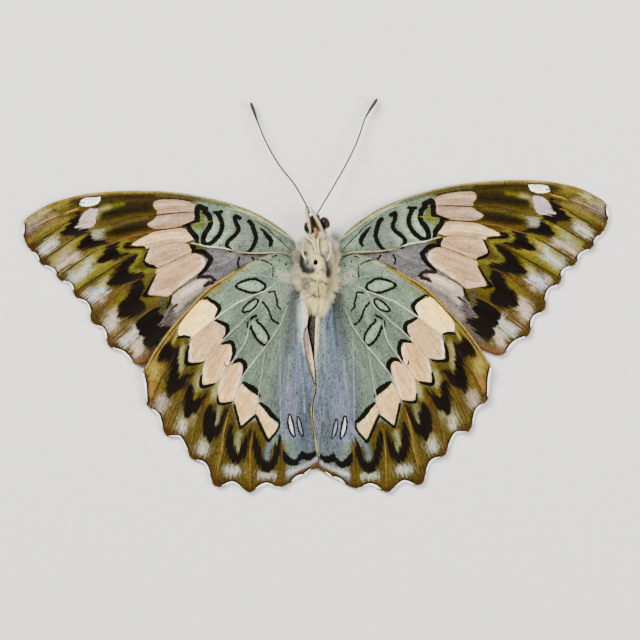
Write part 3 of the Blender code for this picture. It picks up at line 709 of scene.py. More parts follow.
FORE_PALE_SPOTS = [
    ("#e4e8e2", at(29.1,15.02, 31.3,14.98, 31.9,14.6, 32.1,14.2, 31.5,13.9, 30.5,13.9, 29.5,14.2), 1.0),
    ("#a8928f", at(29.6,13.4, 30.5,13.5, 31.4,13.1, 31.9,12.6, 32.5,11.7, 33,11.1, 33.1,10.8, 32.6,10.6,
     31.7,10.75, 30.6,11, 30.1,11.5, 29.9,12.3), 1.6),
    ("#84866c", at(29.3,10.4, 30.2,10.35, 30.8,9.8, 30.8,9.2, 30,9.1, 29.3,9.4), 2.5),
]

# %% [markdown]
# ## Fine lines of the forewing
# The veins show as thin lines, pale on the sea-green and brown towards the margin, and the leading
# edge is a thick gold vein. White arcs line the bays of the margin, each with a dark line inside it.

# %% Fine lines of the forewing
FORE_VEINS = [
    (CREAM_LINE, 0.2, at(2.6,7, 5,8.7, 8,10.9, 11.5,12.6)),
    (SOOT, 0.14, at(3.1,5.6, 4,6.4, 5,7.5, 6,8.5, 6.6,9.2, 7.5,9.8, 8.3,10.5)),
    ("#8f9484", 0.12, at(7,9.9, 7.7,10.4, 8.5,10.85, 9.5,11.45, 10.8,12, 12.4,12.5)),
    ("#a08f84", 0.15, at(3.5,5.35, 5,5.75, 7,5.85, 9,5.95, 11,6.25)),
    (SOOT, 0.14, at(3.8,5.05, 4.5,5.3, 5,5.4, 6.5,5.5, 8,5.65, 10.5,5.8)),
    ("#b0b59e", 0.2, at(11.5,6.45, 13,6.95, 15,7.25, 15.9,7.55)),
    ("#8e8b60", 0.18, at(15.9,7.55, 16.6,7.75, 17.2,7.85)),
    ("#7f876c", 0.12, at(15.85,7.6, 15.95,8.2, 15.9,9.2)),
    ("#6e6d68", 0.12, at(11,5.6, 13,4.8, 15,4.1)),
    ("#605e5e", 0.1, at(12,4.9, 14,4.1)),
    ("#6e681c", 0.18, at(14.1,10.65, 15,10.6, 16,10.5, 17,10.4)),
    (VEIN_BROWN, 0.15, at(16.45,12.15, 19,12.12, 21.5,12.05)),
    ("#4a3216", 0.13, at(21.5,12.05, 24,12.2, 27,11.7, 30.6,10.6)),
    (VEIN_BROWN, 0.16, at(18,10.1, 20,10.05, 22,9.85)),
    ("#5a3e18", 0.2, at(22,9.85, 25,9.4, 28.5,8.4)),
    ("#7a6448", 0.13, at(17.5,7.85, 19,8.05, 21,7.95, 22.3,7.65, 23.2,7.5)),
    ("#5c4a38", 0.12, at(17.1,6.65, 18.2,6.2, 19.8,5.6, 21,5.1, 22.1,4.75)),
    ("#6b5c50", 0.14, at(17,2.95, 18,2.45, 19,2, 20,1.3, 20.3,0.9)),
    ("#5f524c", 0.1, at(15.4,1.9, 17,1.1, 18.8,0.1, 20,-0.9)),
    ("#8c7460", 0.1, at(18.5,11.4, 21.8,11.2)),
    ("#41280a", 0.16, at(29.5,14.1, 31,13.65, 32.5,13.25, 35,12.7, 37,11.95, 38.5,11.35, 39.7,10.8)),
    (PALE_GOLD, 0.16, at(31.9,13.75, 33.2,13.4, 34.5,13)),
    (VEIN_BROWN, 0.18, at(33.8,12.1, 35,11.2, 36.3,10.4, 37.5,9.7, 38.5,8.95)),
    (VEIN_BROWN, 0.2, at(31.2,10.3, 33,9.6, 34.5,8.7, 36,7.8, 37,7.2, 37.8,6.7)),
    (VEIN_BROWN, 0.2, at(29.5,7.9, 31,7.3, 32.3,6.5, 33.5,5.8, 34.5,5.2, 35.2,4.4)),
    (VEIN_BROWN, 0.2, at(25,6.75, 26.4,6.1, 28,5.3, 30.5,3.9, 32.2,2.95, 33.3,2.2)),
    ("#3f2c0c", 0.2, at(24,4, 25,3.2, 26.2,2.6, 27.5,1.6, 29,0.3, 30.5,-1, 31,-1.5)),
    ("#4c3814", 0.2, at(22.2,-0.4, 23.3,-0.9, 24.5,-1.7, 25.5,-2.6)),
    ("#4a3010", 0.2, at(25.5,-2.6, 27.2,-3.9, 29,-5.3)),
    ("#5c5856", 0.14, at(20,-0.7, 21,-1.9, 22.4,-3.2)),
]
FORE_TWISTS = [
    (YELLOW_GREEN, 0.35, at(25.9,8.7, 26.6,8.6, 27,8.3, 27.35,7.75, 27,7.4, 26.3,7.3, 25.4,7.4, 24.5,7.3,
     24,6.9)),
    (LIGHT_OLIVE, 0.3, at(24.1,7.2, 25.2,7.35, 26.3,7.35, 26.9,7.6, 26.9,8.2)),
    ("#5e5c1c", 0.45, at(24.1,6.8, 24.7,6, 25.4,5.2, 25.8,4.8, 25,4.5, 23.9,4.4, 22.9,4.5, 22.2,4.6)),
    (OLIVE_GREEN, 0.4, at(22.5,4.3, 23.2,3.7, 23.6,3, 23.9,2.2, 24.25,1.4, 24.5,0.7, 24,0.4, 23.3,0.5,
     22.2,0.6)),
    (LIGHT_OLIVE, 0.2, at(24.2,1.7, 24.5,0.9, 24.1,0.4)),
]
FORE_ARCS = [
    at(39.93,12.1, 39.95,11.5, 40.02,10.9, 40.15,10.65),
    at(38.9,8.05, 38.5,7.75, 38.25,7.3, 38.15,6.95),
    at(37.35,6.12, 36.8,5.88, 36.2,5.5, 35.9,5),
    at(34.85,3.82, 34.15,3.5, 33.8,3.1, 33.66,2.6),
    at(33,1.22, 32.1,0.8, 31.6,-0.1, 31.5,-0.8),
    at(30.65,-2.58, 29.95,-3, 29.6,-3.7, 29.5,-4.4),
    at(28.6,-5.83, 27.5,-6.3, 26.8,-6.9, 26.2,-7.68),
]


def shifted(path, middle, distance):
    """A path moved bodily towards a middle point by that distance."""
    path = np.asarray(path, float)
    way = np.asarray(middle) - path.mean(axis=0)
    return path + distance * way / np.linalg.norm(way)


def arcs(skin, paths, middle):
    """White arcs in the bays of the margin, each with a sooty line inside it."""
    for path in paths:
        lay(skin, "mark", WARM_SOOT, shifted(path, middle, 0.26), 0.22, 1.6)
        lay(skin, "line", WHITE_SCALES, shifted(path, middle, 0.02), (0.18, 0.26, 0.26, 0.16))


def costa(skin):
    """The thick leading vein: gold, orange towards the tip, with a painted highlight along its crest."""
    edge = smooth_curve(FORE_LEADING, 4)
    wash(skin, "#221805", shifted(edge[20:46], (26, 0), 0.75), 0.8, 0.35, 0.9)
    wash(skin, "#584a1c", edge[2:], (0.5, 0.6, 0.9, 1.1, 1.1), 0.25)
    wash(skin, "#686a52", edge[1:24], (0.5, 0.6, 0.3), 0.2, 0.9)
    # Painted highlight: a thin pale line along the crest of the vein, pale gold further out.
    wash(skin, "#8a835c", shifted(edge[4:30], (15, 0), 0.08), (0.05, 0.12, 0.16, 0.16, 0.05), 0.1, 0.9)
    wash(skin, PALE_GOLD, shifted(edge[24:44], (24, 0), 0.14), (0.02, 0.16, 0.16, 0.02), 0.12, 0.8)
    wash(skin, ORANGE, shifted(edge[40:52], (34, 0), 0.1), (0.1, 0.4, 0.4), 0.25, 0.8)
    wash(skin, "#2b1a08", shifted(edge[36:52], (34, 0), 0.5), (0.1, 0.26, 0.2), 0.15, 0.9)
    wash(skin, "#4a4a2c", shifted(edge[6:27], (13, 0), 0.62), 0.3, 0.15, 0.8)
    near, gap = reach_of(skin, edge, 0.5, FAR)
    skin["relief"][near] = np.maximum(skin["relief"][near], 0.10 * np.exp(-(np.maximum(gap, 0) / 0.25) ** 2))


def paint_forewing(drawn):
    skin = blank(drawn, OLIVE)
    fore_ground(skin)
    for colour, width, soft, path in FORE_CELL_TINTS:
        wash(skin, colour, path, width, soft)
    for colour, loop in FORE_PATCHES:
        lay(skin, "patch", colour, loop, grow=0.06)
    tint = dict(skin, ground=skin["patch_tint"])
    for colour, width, soft, strength, path in FORE_PATCH_TINTS:
        wash(tint, colour, path, width, soft, strength)
    for colour, loop, soft in FORE_PALE_SPOTS:
        lay(skin, "glow" if soft > 2.0 else "patch", colour, loop, None, soft)
    for width, path in FORE_CELL_BARS:
        lay(skin, "mark", SOOT, path, 1.35 * np.array(width))
    for colour, width, soft, path in FORE_DARK:
        lay(skin, "mark", colour, path, width, soft)
    for loop in FORE_CHEVRONS:
        wash(skin, DEEP_OLIVE, loop, None, 1.1, 0.7)
        lay(skin, "dusk", WARM_SOOT, loop, grow=0.22)
    costa(skin)
    for colour, width, path in FORE_TWISTS:
        lay(skin, "glow", colour, path, width, 1.5)
    for colour, width, path in FORE_VEINS:
        vein(skin, colour, path, width)
    arcs(skin, FORE_ARCS, (20.0, 5.0))
    return skin

# %% [markdown]
# ## The hindwing
# The hindwing repeats the scheme: a sea-green base with thin black loops, blue-grey towards the
# body, a row of flesh-coloured patches, and chevrons with pale tips between the veins. Two small
# black-edged ellipses lie near the inner corner, and the inner folds are striped grey and cream.

# %% Ground of the hindwing
HIND_AREAS = [
    (SEA_GREEN, 0.6, at(2,4.8, 6,5.8, 10,4.5, 15.5,0.4, 13.6,-2.8, 12.6,-6, 11.4,-9, 9.6,-11, 8.2,-14,
     6.2,-16.6, 4.6,-14, 4,-8, 3.4,-2)),
    ("#5c6870", 0.7, at(0.6,-1, 2.4,-1.5, 3.6,-4, 4.4,-9, 5.4,-15, 5.4,-20, 3,-20.5, 0.6,-21, 0,-16,
     0.2,-8)),
    ("#5d5f6d", 0.9, at(2.6,-9, 4.6,-13, 5.4,-18, 4.8,-19.5, 3.2,-16, 2.6,-12)),
    (OLIVE, 0.3, at(19,-4.4, 22.6,-7.2, 23.9,-10, 23.2,-14.6, 21,-18.8, 17.4,-22.2, 14.2,-25.8, 9.8,-27,
     5.3,-26.6, 4.8,-22, 6.6,-20.4, 8.6,-17.4, 11,-18, 12,-14.6, 13.8,-15, 14.2,-12.2, 16.2,-12.4, 16,-9.1,
     18,-9, 17.6,-5.4)),
    (MARGIN_BROWN, 0.5, at(23,-7.8, 23,-12, 22.4,-14.4, 20.6,-17.6, 19,-18.4, 17.2,-21.4, 15.4,-22.3,
     14.2,-25, 12.2,-25, 9.8,-26.4, 7.4,-25.4, 5.3,-25.9, 3,-24.6, 0.4,-23.6, 0.4,-27, 14,-29, 24,-20,
     26,-8)),
]
HIND_STROKES = [
    (PALE_SEA, 1.2, 0.7, 0.7, at(4.5,4, 8,3.6, 11,2.2)),
    (PALE_SEA, 0.9, 0.5, 0.7, at(11.2,1.6, 12.6,0.4, 13.2,-0.6)),
    (MINT, 0.5, 0.4, 0.6, at(6.6,-2.2, 7.2,-3.5, 7.6,-4.6)),
    (TEAL, 1.0, 0.6, 0.5, at(3,3.4, 3.6,2.2, 3.2,0.6)),
    (PALE_SEA, 1.4, 0.7, 0.6, at(10,-0.2, 12,-1.5, 12.6,-3.4)),
    ("#566252", 1.2, 0.7, 0.6, at(9.5,-3.4, 11.4,-5.4, 10.8,-7.6)),
    (PALE_SEA, 1.8, 0.9, 0.8, at(4,2.6, 5.6,0.6, 7,-1.2)),
    (CREAM_LINE, 0.3, 0.3, 0.6, at(6,5, 8.6,4.2, 11.4,2.8)),
    ("#6f6c38", 0.5, 0.4, 0.7, at(13,1, 14.4,0.2, 15.2,-0.2)),
    ("#8a8438", 0.35, 0.25, 0.9, at(19.1,-4.8, 19.6,-5.7, 20.2,-6.6)),
    ("#5f5018", 0.6, 0.35, 0.9, at(18.4,-6.2, 18.6,-8, 18.7,-9.8)),
    (YELLOW_GREEN, 0.5, 0.3, 0.8, at(18.5,-8.6, 18.9,-10.2, 19.1,-10.9)),
    ("#5f5018", 0.6, 0.3, 0.9, at(16,-9.2, 16.4,-10.4, 17,-11.6)),
    (YELLOW_GREEN, 0.45, 0.3, 0.9, at(16.3,-11.4, 16.6,-12.8, 17,-13.9)),
    ("#5f5018", 0.6, 0.3, 0.8, at(14,-12.3, 14.5,-13.6, 15.3,-14.6)),
    ("#7c7628", 0.4, 0.3, 0.9, at(13.9,-11.9, 13.9,-12.4)),
    ("#5f5018", 0.6, 0.3, 0.7, at(21.2,-11.3, 21.6,-12.4, 22.1,-13.4)),
    (TAWNY, 1.0, 0.5, 0.8, at(20.5,-7, 21.8,-9.4, 22.6,-12.6)),
    (TAWNY, 1.0, 0.5, 0.8, at(17.6,-10.6, 19.2,-13.6, 20.8,-17)),
    (TAWNY, 1.0, 0.5, 0.8, at(15.2,-13.8, 16.6,-17, 17.4,-20.6)),
    (TAWNY, 1.0, 0.5, 0.7, at(12.4,-16, 13.2,-19.6, 14.2,-24.2)),
    (TAWNY, 1.0, 0.5, 0.8, at(9.2,-18.2, 9.6,-21.6, 9.7,-25.6)),
    (TAWNY, 0.8, 0.5, 0.8, at(5.2,-20.6, 5.2,-23.2, 5.4,-25.4)),
    ("#544a18", 0.5, 0.35, 0.9, at(12.9,-17.5, 13.5,-20.5, 14.2,-23)),
    ("#544a18", 0.5, 0.35, 0.8, at(18.6,-12.6, 19.8,-15.2, 20.8,-17.2)),
    ("#544a18", 0.5, 0.35, 0.8, at(16.8,-16.6, 17.3,-18.6, 17.6,-20.4)),
    ("#544a18", 0.5, 0.35, 0.8, at(10.2,-23.3, 10,-25.2)),
    ("#a59ca0", 0.6, 0.35, 0.95, at(0.6,-22.95, 1.8,-23.65, 3,-24.15, 4.4,-24.65)),
    (TAWNY, 0.6, 0.3, 0.9, at(0.5,-23.6, 1.6,-24.2, 2.8,-24.75)),
    ("#7f8480", 0.3, 0.3, 0.5, at(8.2,-14.6, 8.5,-15.8)),
    ("#6a7080", 0.9, 0.6, 0.6, at(1,-13, 0.9,-16, 1.2,-18.5)),
    (VIOLET_GREY, 1.0, 0.6, 0.7, at(0.5,-13.5, 0.4,-17.5)),
    ("#66747e", 0.8, 0.6, 0.5, at(2,-3, 2,-7, 1.8,-11)),
    ("#465056", 1.2, 0.6, 0.5, at(3.6,-6, 4.4,-10, 5,-14)),
    ("#424b48", 1.3, 0.7, 0.8, at(4.9,-10, 5.5,-13, 5.7,-17)),
]
HIND_GLOW = [
    ("#94803a", 1.0, 4.0, at(22.3,-9.3, 22.6,-10.5)),
    ("#80602c", 0.8, 3.0, at(22.6,-11.6, 22.9,-12.9)),
    ("#a0907c", 1.0, 4.0, at(21.3,-13.8, 21.7,-14.7)),
    (PEARL, 1.0, 3.0, at(18.7,-17, 18.9,-17.8)),
    (STREAK_GREY, 1.0, 4.0, at(17.9,-15.9, 19,-17.6)),
    (PEARL, 0.9, 3.0, at(15.8,-20.2, 16.1,-21)),
    (STREAK_GREY, 0.7, 3.0, at(15.5,-19.4, 15.9,-20.6)),
    (PEARL, 0.7, 3.0, at(11.6,-24, 12.6,-23.9)),
    (PEARL, 0.5, 3.0, at(6.8,-24.8, 8.1,-24.8)),
    (STREAK_GREY, 0.5, 2.5, at(18.6,-7, 18.9,-8.4, 19,-9.6)),
    (STREAK_GREY, 0.5, 2.5, at(16.3,-10.8, 16.6,-12.2)),
    (STREAK_GREY, 0.5, 2.5, at(14.1,-12.8, 14.3,-13.8)),
]
HIND_FOLD_STROKES = [
    ("#2b2b25", (0.5, 0.45, 0.35, 0.1), 0.35, 0.75, at(2.5,0.2, 2.55,-2, 2.7,-4.4, 3,-7)),
    ("#a39d88", (0.6, 1.3, 1.3, 0.6), 0.7, 0.75, at(2.9,2.9, 3.6,2.1, 4.4,2.4, 5.2,3)),
    ("#868c7e", (0.6, 1.2, 1.2, 0.4), 0.6, 0.65, at(3.2,0.9, 4.2,0, 4.7,-0.9, 5,-1.9)),
    ("#5d6466", (0.6, 1.5, 1.5, 0.5), 0.7, 0.6, at(4.7,-8.5, 4.9,-10.5, 5.1,-12.5, 5.5,-14.5)),
    ("#464d55", (0.6, 2.2, 3.2, 3.4), 0.9, 0.75, at(1,-14.5, 1.5,-17.5, 1.9,-20.5, 2.1,-22)),
    ("#484c49", (0.8, 1.2, 1.1, 0.3), 0.5, 0.8, at(3.1,-0.2, 3.35,-3, 3.8,-6, 4.3,-9)),
    ("#7a8868", 0.2, 0.2, 0.7, at(3.9,-8.6, 4,-11, 4.3,-13.5)),
]

# %% Loops, patches and dark marks of the hindwing
HIND_LOOPS_AND_EDGE_SHADOW = [
    (0.28, at(6.9,1.05, 7.1,1.4, 7.6,1.75, 8.2,2.1, 8.8,2.15, 9.5,2, 10.2,1.8, 10.7,1.55, 10.95,1.25,
     10.7,0.95, 10,0.65, 9.2,0.35, 8.6,0.25, 8,0.25, 7.5,0.38, 7.1,0.7, 6.9,1.05)),
    (0.22, at(8,-0.75, 8.4,-0.6, 9,-0.9, 9.6,-1.4, 10,-1.9, 10.1,-2.3, 9.5,-2.3, 8.9,-2.1, 8.4,-1.7,
     8.05,-1.2, 8,-0.75)),
    (0.2, at(6.5,0.2, 6,0.3, 5.65,0.2, 5.6,-0.2, 5.45,-0.7, 5.3,-1.1, 5.4,-1.4, 5.2,-1.9, 4.9,-2.2)),
    (0.22, at(7.35,-1.1, 7,-1.5, 6.75,-1.9, 6.5,-2.4, 6.4,-2.9, 6.1,-3.5, 5.8,-3.8, 5.3,-4.1)),
    (0.26, at(8.3,-2.9, 8.9,-3.15, 9.3,-3.6, 9.42,-4.1, 9.35,-4.5, 9.1,-4.6, 8.98,-4.3)),
    (0.24, at(8.2,-3.4, 8.1,-3.8, 7.6,-4.2, 7.2,-4.8, 6.85,-5.3, 6.65,-5.9, 6.7,-6.5)),
    (0.28, at(8.9,-4.8, 8.7,-5.3, 8.4,-5.9, 8.1,-6.3, 7.7,-6.7, 7.2,-7, 6.75,-6.7)),
    (0.14, at(5.95,2.2, 5.85,3, 5.85,3.6, 6.05,4, 6.5,4.3, 7.2,4.6, 8,4.75)),
    # Painted shadow: a black line along the hindwing's leading edge, where it lies over the forewing.
    (0.16, at(8.3,4.75, 9,4.5, 10,4, 11,3.4)),
    (0.14, at(5.3,5.2, 5.9,5)),
    (0.18, at(4,4, 4.05,3.9)),
    (0.16, at(4.9,4.5, 4.95,4.45)),
]
HIND_LOOP_TINTS = [
    (MINT, at(7.1,1.1, 7.8,1.6, 9.2,1.9, 10.6,1.4, 9.8,0.8, 8.4,0.4)),
    (MINT, at(8.2,-0.8, 9.2,-1.3, 9.9,-2.1, 8.8,-1.9)),
    (MINT, at(8.9,-3.6, 8.9,-4.4, 8.2,-5.8, 7.2,-6.6, 6.9,-5.9, 7.8,-4.4)),
]
HIND_PATCHES = [
    (BUTTER, at(13.7,-1.3, 14.4,-0.85, 15.5,-0.5, 16,-0.65, 17,-1.65, 18,-2.75, 18.7,-3.65, 18.9,-4.4,
     18.85,-5, 18,-5.05, 17.4,-5.2, 17.15,-5.4, 15.5,-4.15, 14.1,-3.05, 13.75,-2.4, 13.65,-1.8)),
    ("#bf9a6a", at(14,-3.35, 13.4,-3.75, 12.8,-4.2, 12.6,-4.7, 12.7,-5.5, 12.95,-5.95, 14,-7, 15.1,-8.1,
     15.5,-8.6, 16.5,-8.8, 17.5,-8.7, 17.6,-8, 17.5,-7, 17.3,-6.2, 17.05,-5.6, 15.5,-4.35)),
    ("#cb9f66", at(13.1,-6.6, 12.2,-6.7, 11.8,-7.2, 11.75,-7.8, 11.95,-8.5, 12.15,-9.15, 13,-10.3,
     13.8,-11.5, 14.7,-11.8, 15.8,-11.9, 15.8,-11, 15.7,-10, 15.4,-9, 15.1,-8.45, 14.2,-7.6)),
    ("#caa068", at(10.4,-9.6, 11,-9.1, 11.6,-9.3, 12,-9.6, 12.8,-10.5, 13.4,-11.3, 13.6,-12, 13.7,-13,
     13.5,-14.3, 12.3,-14.4, 11.7,-14.1, 11,-12.2, 10.5,-10.6)),
    ("#cba165", at(10.4,-12.2, 10.9,-12.9, 11.45,-14.2, 11.3,-15, 11.1,-16, 10.9,-17.2, 10.7,-17.7, 10,-17.2,
     9.3,-16.6, 8.9,-16.1, 8.5,-15, 8.4,-14, 9.3,-13.4)),
    ("#c9a76a", at(8.3,-15.1, 8.5,-16.2, 8.2,-16.9, 7.8,-17.7, 7.4,-18.7, 7,-19.6, 6.6,-19.3, 6.1,-18.8,
     5.8,-18.3, 5.75,-17.9, 6.3,-17.4, 6.8,-16.7, 7.4,-16, 7.9,-15.4)),
]
HIND_PATCH_TINTS = [
    ("#e2cfa4", 0.6, 0.4, 0.6, at(14,-2.4, 15.5,-3.2, 17.2,-4.6)),
    ("#c8b4a0", 0.6, 0.4, 0.6, at(14.1,-1.6, 15,-1.8)),
    ("#e4d8ca", 0.35, 0.2, 0.9, at(17.6,-4.95, 18.7,-4.8)),
    ("#e2d2cb", 0.3, 0.2, 0.9, at(17.25,-6.4, 17.45,-7.6, 17.3,-8.6)),
    ("#a98f88", 0.7, 0.4, 0.7, at(13.2,-4.1, 12.9,-5.2)),
    ("#a3957a", 0.6, 0.4, 0.6, at(15.2,-8, 16.8,-8.5)),
    ("#dfc6ab", 0.35, 0.25, 0.9, at(12.1,-7, 12,-8.2, 12.4,-9.3)),
    ("#dcc4a4", 0.4, 0.25, 0.9, at(15.4,-9.2, 15.6,-10.6, 15.4,-11.6)),
    ("#b08e66", 0.8, 0.5, 0.6, at(13.4,-8, 14.6,-10.4)),
    ("#d8c0a4", 0.3, 0.2, 0.9, at(10.7,-9.8, 10.8,-11, 11.8,-13.8)),
    ("#d8c4a8", 0.3, 0.2, 0.9, at(12.9,-11, 13.4,-12.4, 13.3,-13.9)),
    ("#cdb48c", 0.4, 0.25, 0.9, at(8.8,-14.6, 9.6,-13.6, 10.6,-12.7)),
    ("#c9b6a0", 0.4, 0.25, 0.8, at(9.4,-16.3, 10.5,-17.3)),
    ("#cfc2a4", 0.3, 0.2, 0.8, at(6.1,-18, 7.2,-16.8, 8.1,-15.6)),
]
HIND_DARK = [
    ((0.2, 0.4, 0.45, 0.25), at(15.4,-0.2, 14.9,-0.15, 14.4,-0.55, 13.7,-1, 13.35,-1.5, 13.35,-1.9,
     13.7,-2.5, 13.85,-2.85)),
    ((0.25, 0.45, 0.45, 0.25), at(13.85,-3.2, 13.2,-3.55, 12.5,-3.9, 12.25,-4.3, 12.3,-4.9, 12.5,-5.4,
     12.8,-5.75)),
    ((0.2, 0.4, 0.45, 0.2), at(13.1,-6.5, 12.4,-6.4, 11.9,-6.3, 11.6,-6.6, 11.45,-7.2, 11.45,-7.8, 11.7,-8.5,
     11.95,-8.95)),
    ((0.3, 0.5, 0.45, 0.2), at(10.2,-10.9, 9.95,-10, 10.1,-9.3, 10.6,-8.85, 11.3,-9, 11.85,-9.35)),
    ((0.3, 0.6, 0.6, 0.3), at(8.15,-13.9, 8.6,-13.2, 9.4,-12.6, 10.25,-12)),
    ((0.3, 0.5, 0.5, 0.3), at(8,-14.9, 7.2,-15.7, 6.6,-16.5, 6,-17.1, 5.5,-17.4)),
    ((0.2, 0.3, 0.15), at(17.4,-5.4, 18.1,-5.25, 18.8,-5.3, 19.2,-5.45)),
    ((0.15, 0.3, 0.4, 0.35, 0.2), at(15.6,-8.8, 16.2,-9.02, 17.2,-9.1, 17.95,-9, 18,-8.4, 17.85,-7.4,
     17.6,-6.6)),
    ((0.2, 0.35, 0.35, 0.2), at(14.2,-11.95, 15,-12.15, 16,-12.25, 16.1,-11.5, 15.95,-10.7)),
    ((0.2, 0.3, 0.2), at(12,-14.55, 13,-14.75, 13.75,-14.6, 13.85,-13.6)),
    (0.26, at(9,-16.75, 9.8,-17.4, 10.5,-17.95, 10.85,-18.1, 11.1,-17, 11.35,-16, 11.55,-15)),
    (0.25, at(5.45,-17.5, 5.5,-18.1, 5.9,-18.9, 6.5,-19.6, 7,-20.2)),
    (0.3, at(8.7,-16.6, 8.35,-17.3, 8,-18.2, 7.55,-19.2, 7.1,-20.1)),
    (0.12, at(12.75,-9.1, 12.75,-9.4, 12.5,-9.6)),
]
HIND_CHEVRONS = [
    at(18.9,-6.6, 19.6,-6.85, 20.3,-6, 21,-6.5, 21.5,-7.5, 21.7,-8.4, 20.8,-8.2, 20.2,-9, 19.8,-10.4,
     19.4,-11, 19.3,-9.6, 19.2,-8),
    at(17.2,-10.4, 18.2,-10.6, 18.8,-11, 19.2,-11.1, 19.3,-9.6, 19.6,-9, 20.1,-9.6, 20.3,-10.5, 20.7,-11.3,
     20.7,-12.3, 20.6,-13.4, 20.1,-12.9, 19.3,-12.6, 18.7,-12.1, 18.1,-11.3),
    at(15.3,-13.2, 16.2,-13.7, 17,-14.2, 17.4,-14, 17.3,-12.6, 17.5,-12, 18,-12.6, 18.3,-14, 18.4,-15,
     18.2,-16.4, 17.6,-16, 17,-15.6, 16.3,-14.9, 15.8,-14.2),
    at(12.4,-15.2, 13.1,-16, 13.7,-17.4, 14.4,-17.9, 14.4,-16.2, 14.8,-15, 15.5,-15.6, 15.8,-17.2,
     15.7,-18.8, 15.1,-19.9, 14.2,-19, 13.4,-18.2),
    at(9.6,-18.5, 10.5,-20.3, 11,-21.6, 11.6,-21.5, 11.9,-19.6, 12,-17.6, 12.6,-18.6, 12.8,-20.4, 12.4,-22.1,
     11.6,-22.9, 10.9,-22.6, 10.1,-21.2),
    at(5.4,-19.8, 6,-20.9, 6.5,-22.5, 7.3,-23.2, 8,-22.2, 8.4,-20.4, 8.9,-18.9, 9.1,-20.6, 8.8,-22.4,
     8.2,-23.7, 7.3,-24.4, 6.3,-23.6, 5.6,-22.2),
]
HIND_BAND = at(0.5,-21.7, 1.2,-22, 1.9,-22.05, 2.5,-21.6, 2.9,-22.2, 3.4,-22.8, 4,-22.5, 4.6,-21.9,
    5.1,-21.4, 5.1,-22.8, 4.5,-23.5, 3.6,-23.75, 3,-23.45, 2.6,-22.95, 1.6,-23.1, 0.6,-22.5)
HIND_TIPS = [
    ("#686c50", 0.6, at(13.7,-15.4, 14,-16.6, 14.1,-17.4)),
    ("#6a6e50", 0.7, at(11,-18.9, 11.3,-20, 11.3,-21)),
    ("#4c565c", 0.9, at(6.9,-20.6, 7.2,-21.6, 7.3,-22.4)),
]

# %% Lines of the hindwing
HIND_VEINS = [
    ("#8d7d64", 0.22, at(2.3,1, 3.5,1.25, 4.4,1.5)),
    ("#777e80", 0.12, at(3.5,1.2, 4.5,1.5, 5.2,1.7, 5.7,2.1, 7,2.45, 8,2.6, 9.5,2.55, 11.3,2.05)),
    ("#b3b8a4", 0.15, at(5.6,1.3, 6.2,0.9, 7,0.45, 8,0.1, 9,-0.25, 10,-0.7, 11,-1.1, 13,-2.4, 14,-3.1,
     15.5,-4.2, 17.2,-5.45)),
    ("#a2a792", 0.13, at(7,0.4, 7.3,-0.3, 7.7,-1, 8.2,-1.8, 9,-2.5, 9.7,-3.1, 10.5,-3.9, 11.5,-4.7, 13,-6.1,
     14.2,-7.6, 15.3,-8.6)),
    ("#a2a792", 0.13, at(9.2,-3, 9.4,-4.9, 10,-6.6, 11,-8, 12,-9.5, 13.5,-11.4)),
    ("#a2a792", 0.13, at(4,-1.8, 4.6,-3.3, 5.1,-4.4, 5.6,-5.1, 6.2,-6, 6.9,-6.9, 7.5,-7.6, 9,-9.4,
     10.3,-11.1, 11.6,-14.2)),
    ("#8f958a", 0.11, at(7.2,-7.6, 7.7,-10.6, 8.3,-14, 8.9,-16.5)),
    ("#7d868a", 0.1, at(5.1,-5, 5.2,-10, 5.3,-15, 5.3,-19)),
    ("#6a747a", 0.1, at(2.6,-6, 3,-11, 3.4,-15.5)),
    ("#33210a", 0.17, at(19.3,-7.4, 20.3,-9, 21,-10.2, 21.8,-11.5, 22.5,-12.8, 23,-14.3)),
    ("#33210a", 0.17, at(17.8,-11.5, 18.7,-13, 19.5,-14.5, 20.2,-16, 20.8,-17.5, 21,-18.5)),
    ("#33210a", 0.17, at(15.5,-14.5, 16.3,-16, 16.9,-17.6, 17.3,-19.4, 17.6,-20.8)),
    ("#6b5522", 0.15, at(12.2,-15.4, 12.7,-17, 13.2,-19, 13.4,-21, 13.8,-22.5, 14.2,-24.5)),
    ("#6b5522", 0.15, at(9.2,-18.8, 9.5,-20.5, 9.6,-22, 9.7,-26.5)),
    ("#4a3a14", 0.15, at(5.2,-20, 5.2,-22, 5.3,-24, 5.4,-26)),
    ("#3a3a34", 0.08, at(1,-17.5, 0.8,-19, 0.65,-20.3, 0.5,-21.8)),
]
HIND_EYES = [
    ("#b9b9b2", (0.06, 0.40, 0.42, 0.06), (0.5, 0.98, 1.0, 0.5), at(4.05,-16.75, 4,-17.6, 3.78,-18.8,
     3.52,-19.6)),
    ("#6f757a", (0.06, 0.34, 0.34, 0.06), (0.4, 0.76, 0.76, 0.4), at(2.9,-17.1, 2.78,-17.9, 2.6,-18.8,
     2.36,-19.6)),
]
HIND_ARCS = [
    at(23.95,-10.1, 23.78,-11, 23.68,-12, 23.6,-13.9),
    at(22.9,-15, 22.35,-15.4, 21.95,-16, 21.6,-17.3),
    at(20.6,-18.85, 19.9,-18.85, 19.1,-19.1, 18.2,-20.8),
    at(16.9,-22.3, 16.1,-22.6, 15.6,-23.2, 15.2,-24.3),
    at(13.5,-26, 12.6,-25.65, 12,-25.6, 10.95,-26.3),
    at(8.85,-26.6, 8.1,-26.15, 7.4,-26, 6.6,-26.22),
    at(3.9,-25.78, 3.5,-25.45, 3.1,-25.2, 2.5,-24.98),
    at(2.1,-24.85, 1.7,-24.6, 1.4,-24.35),
]


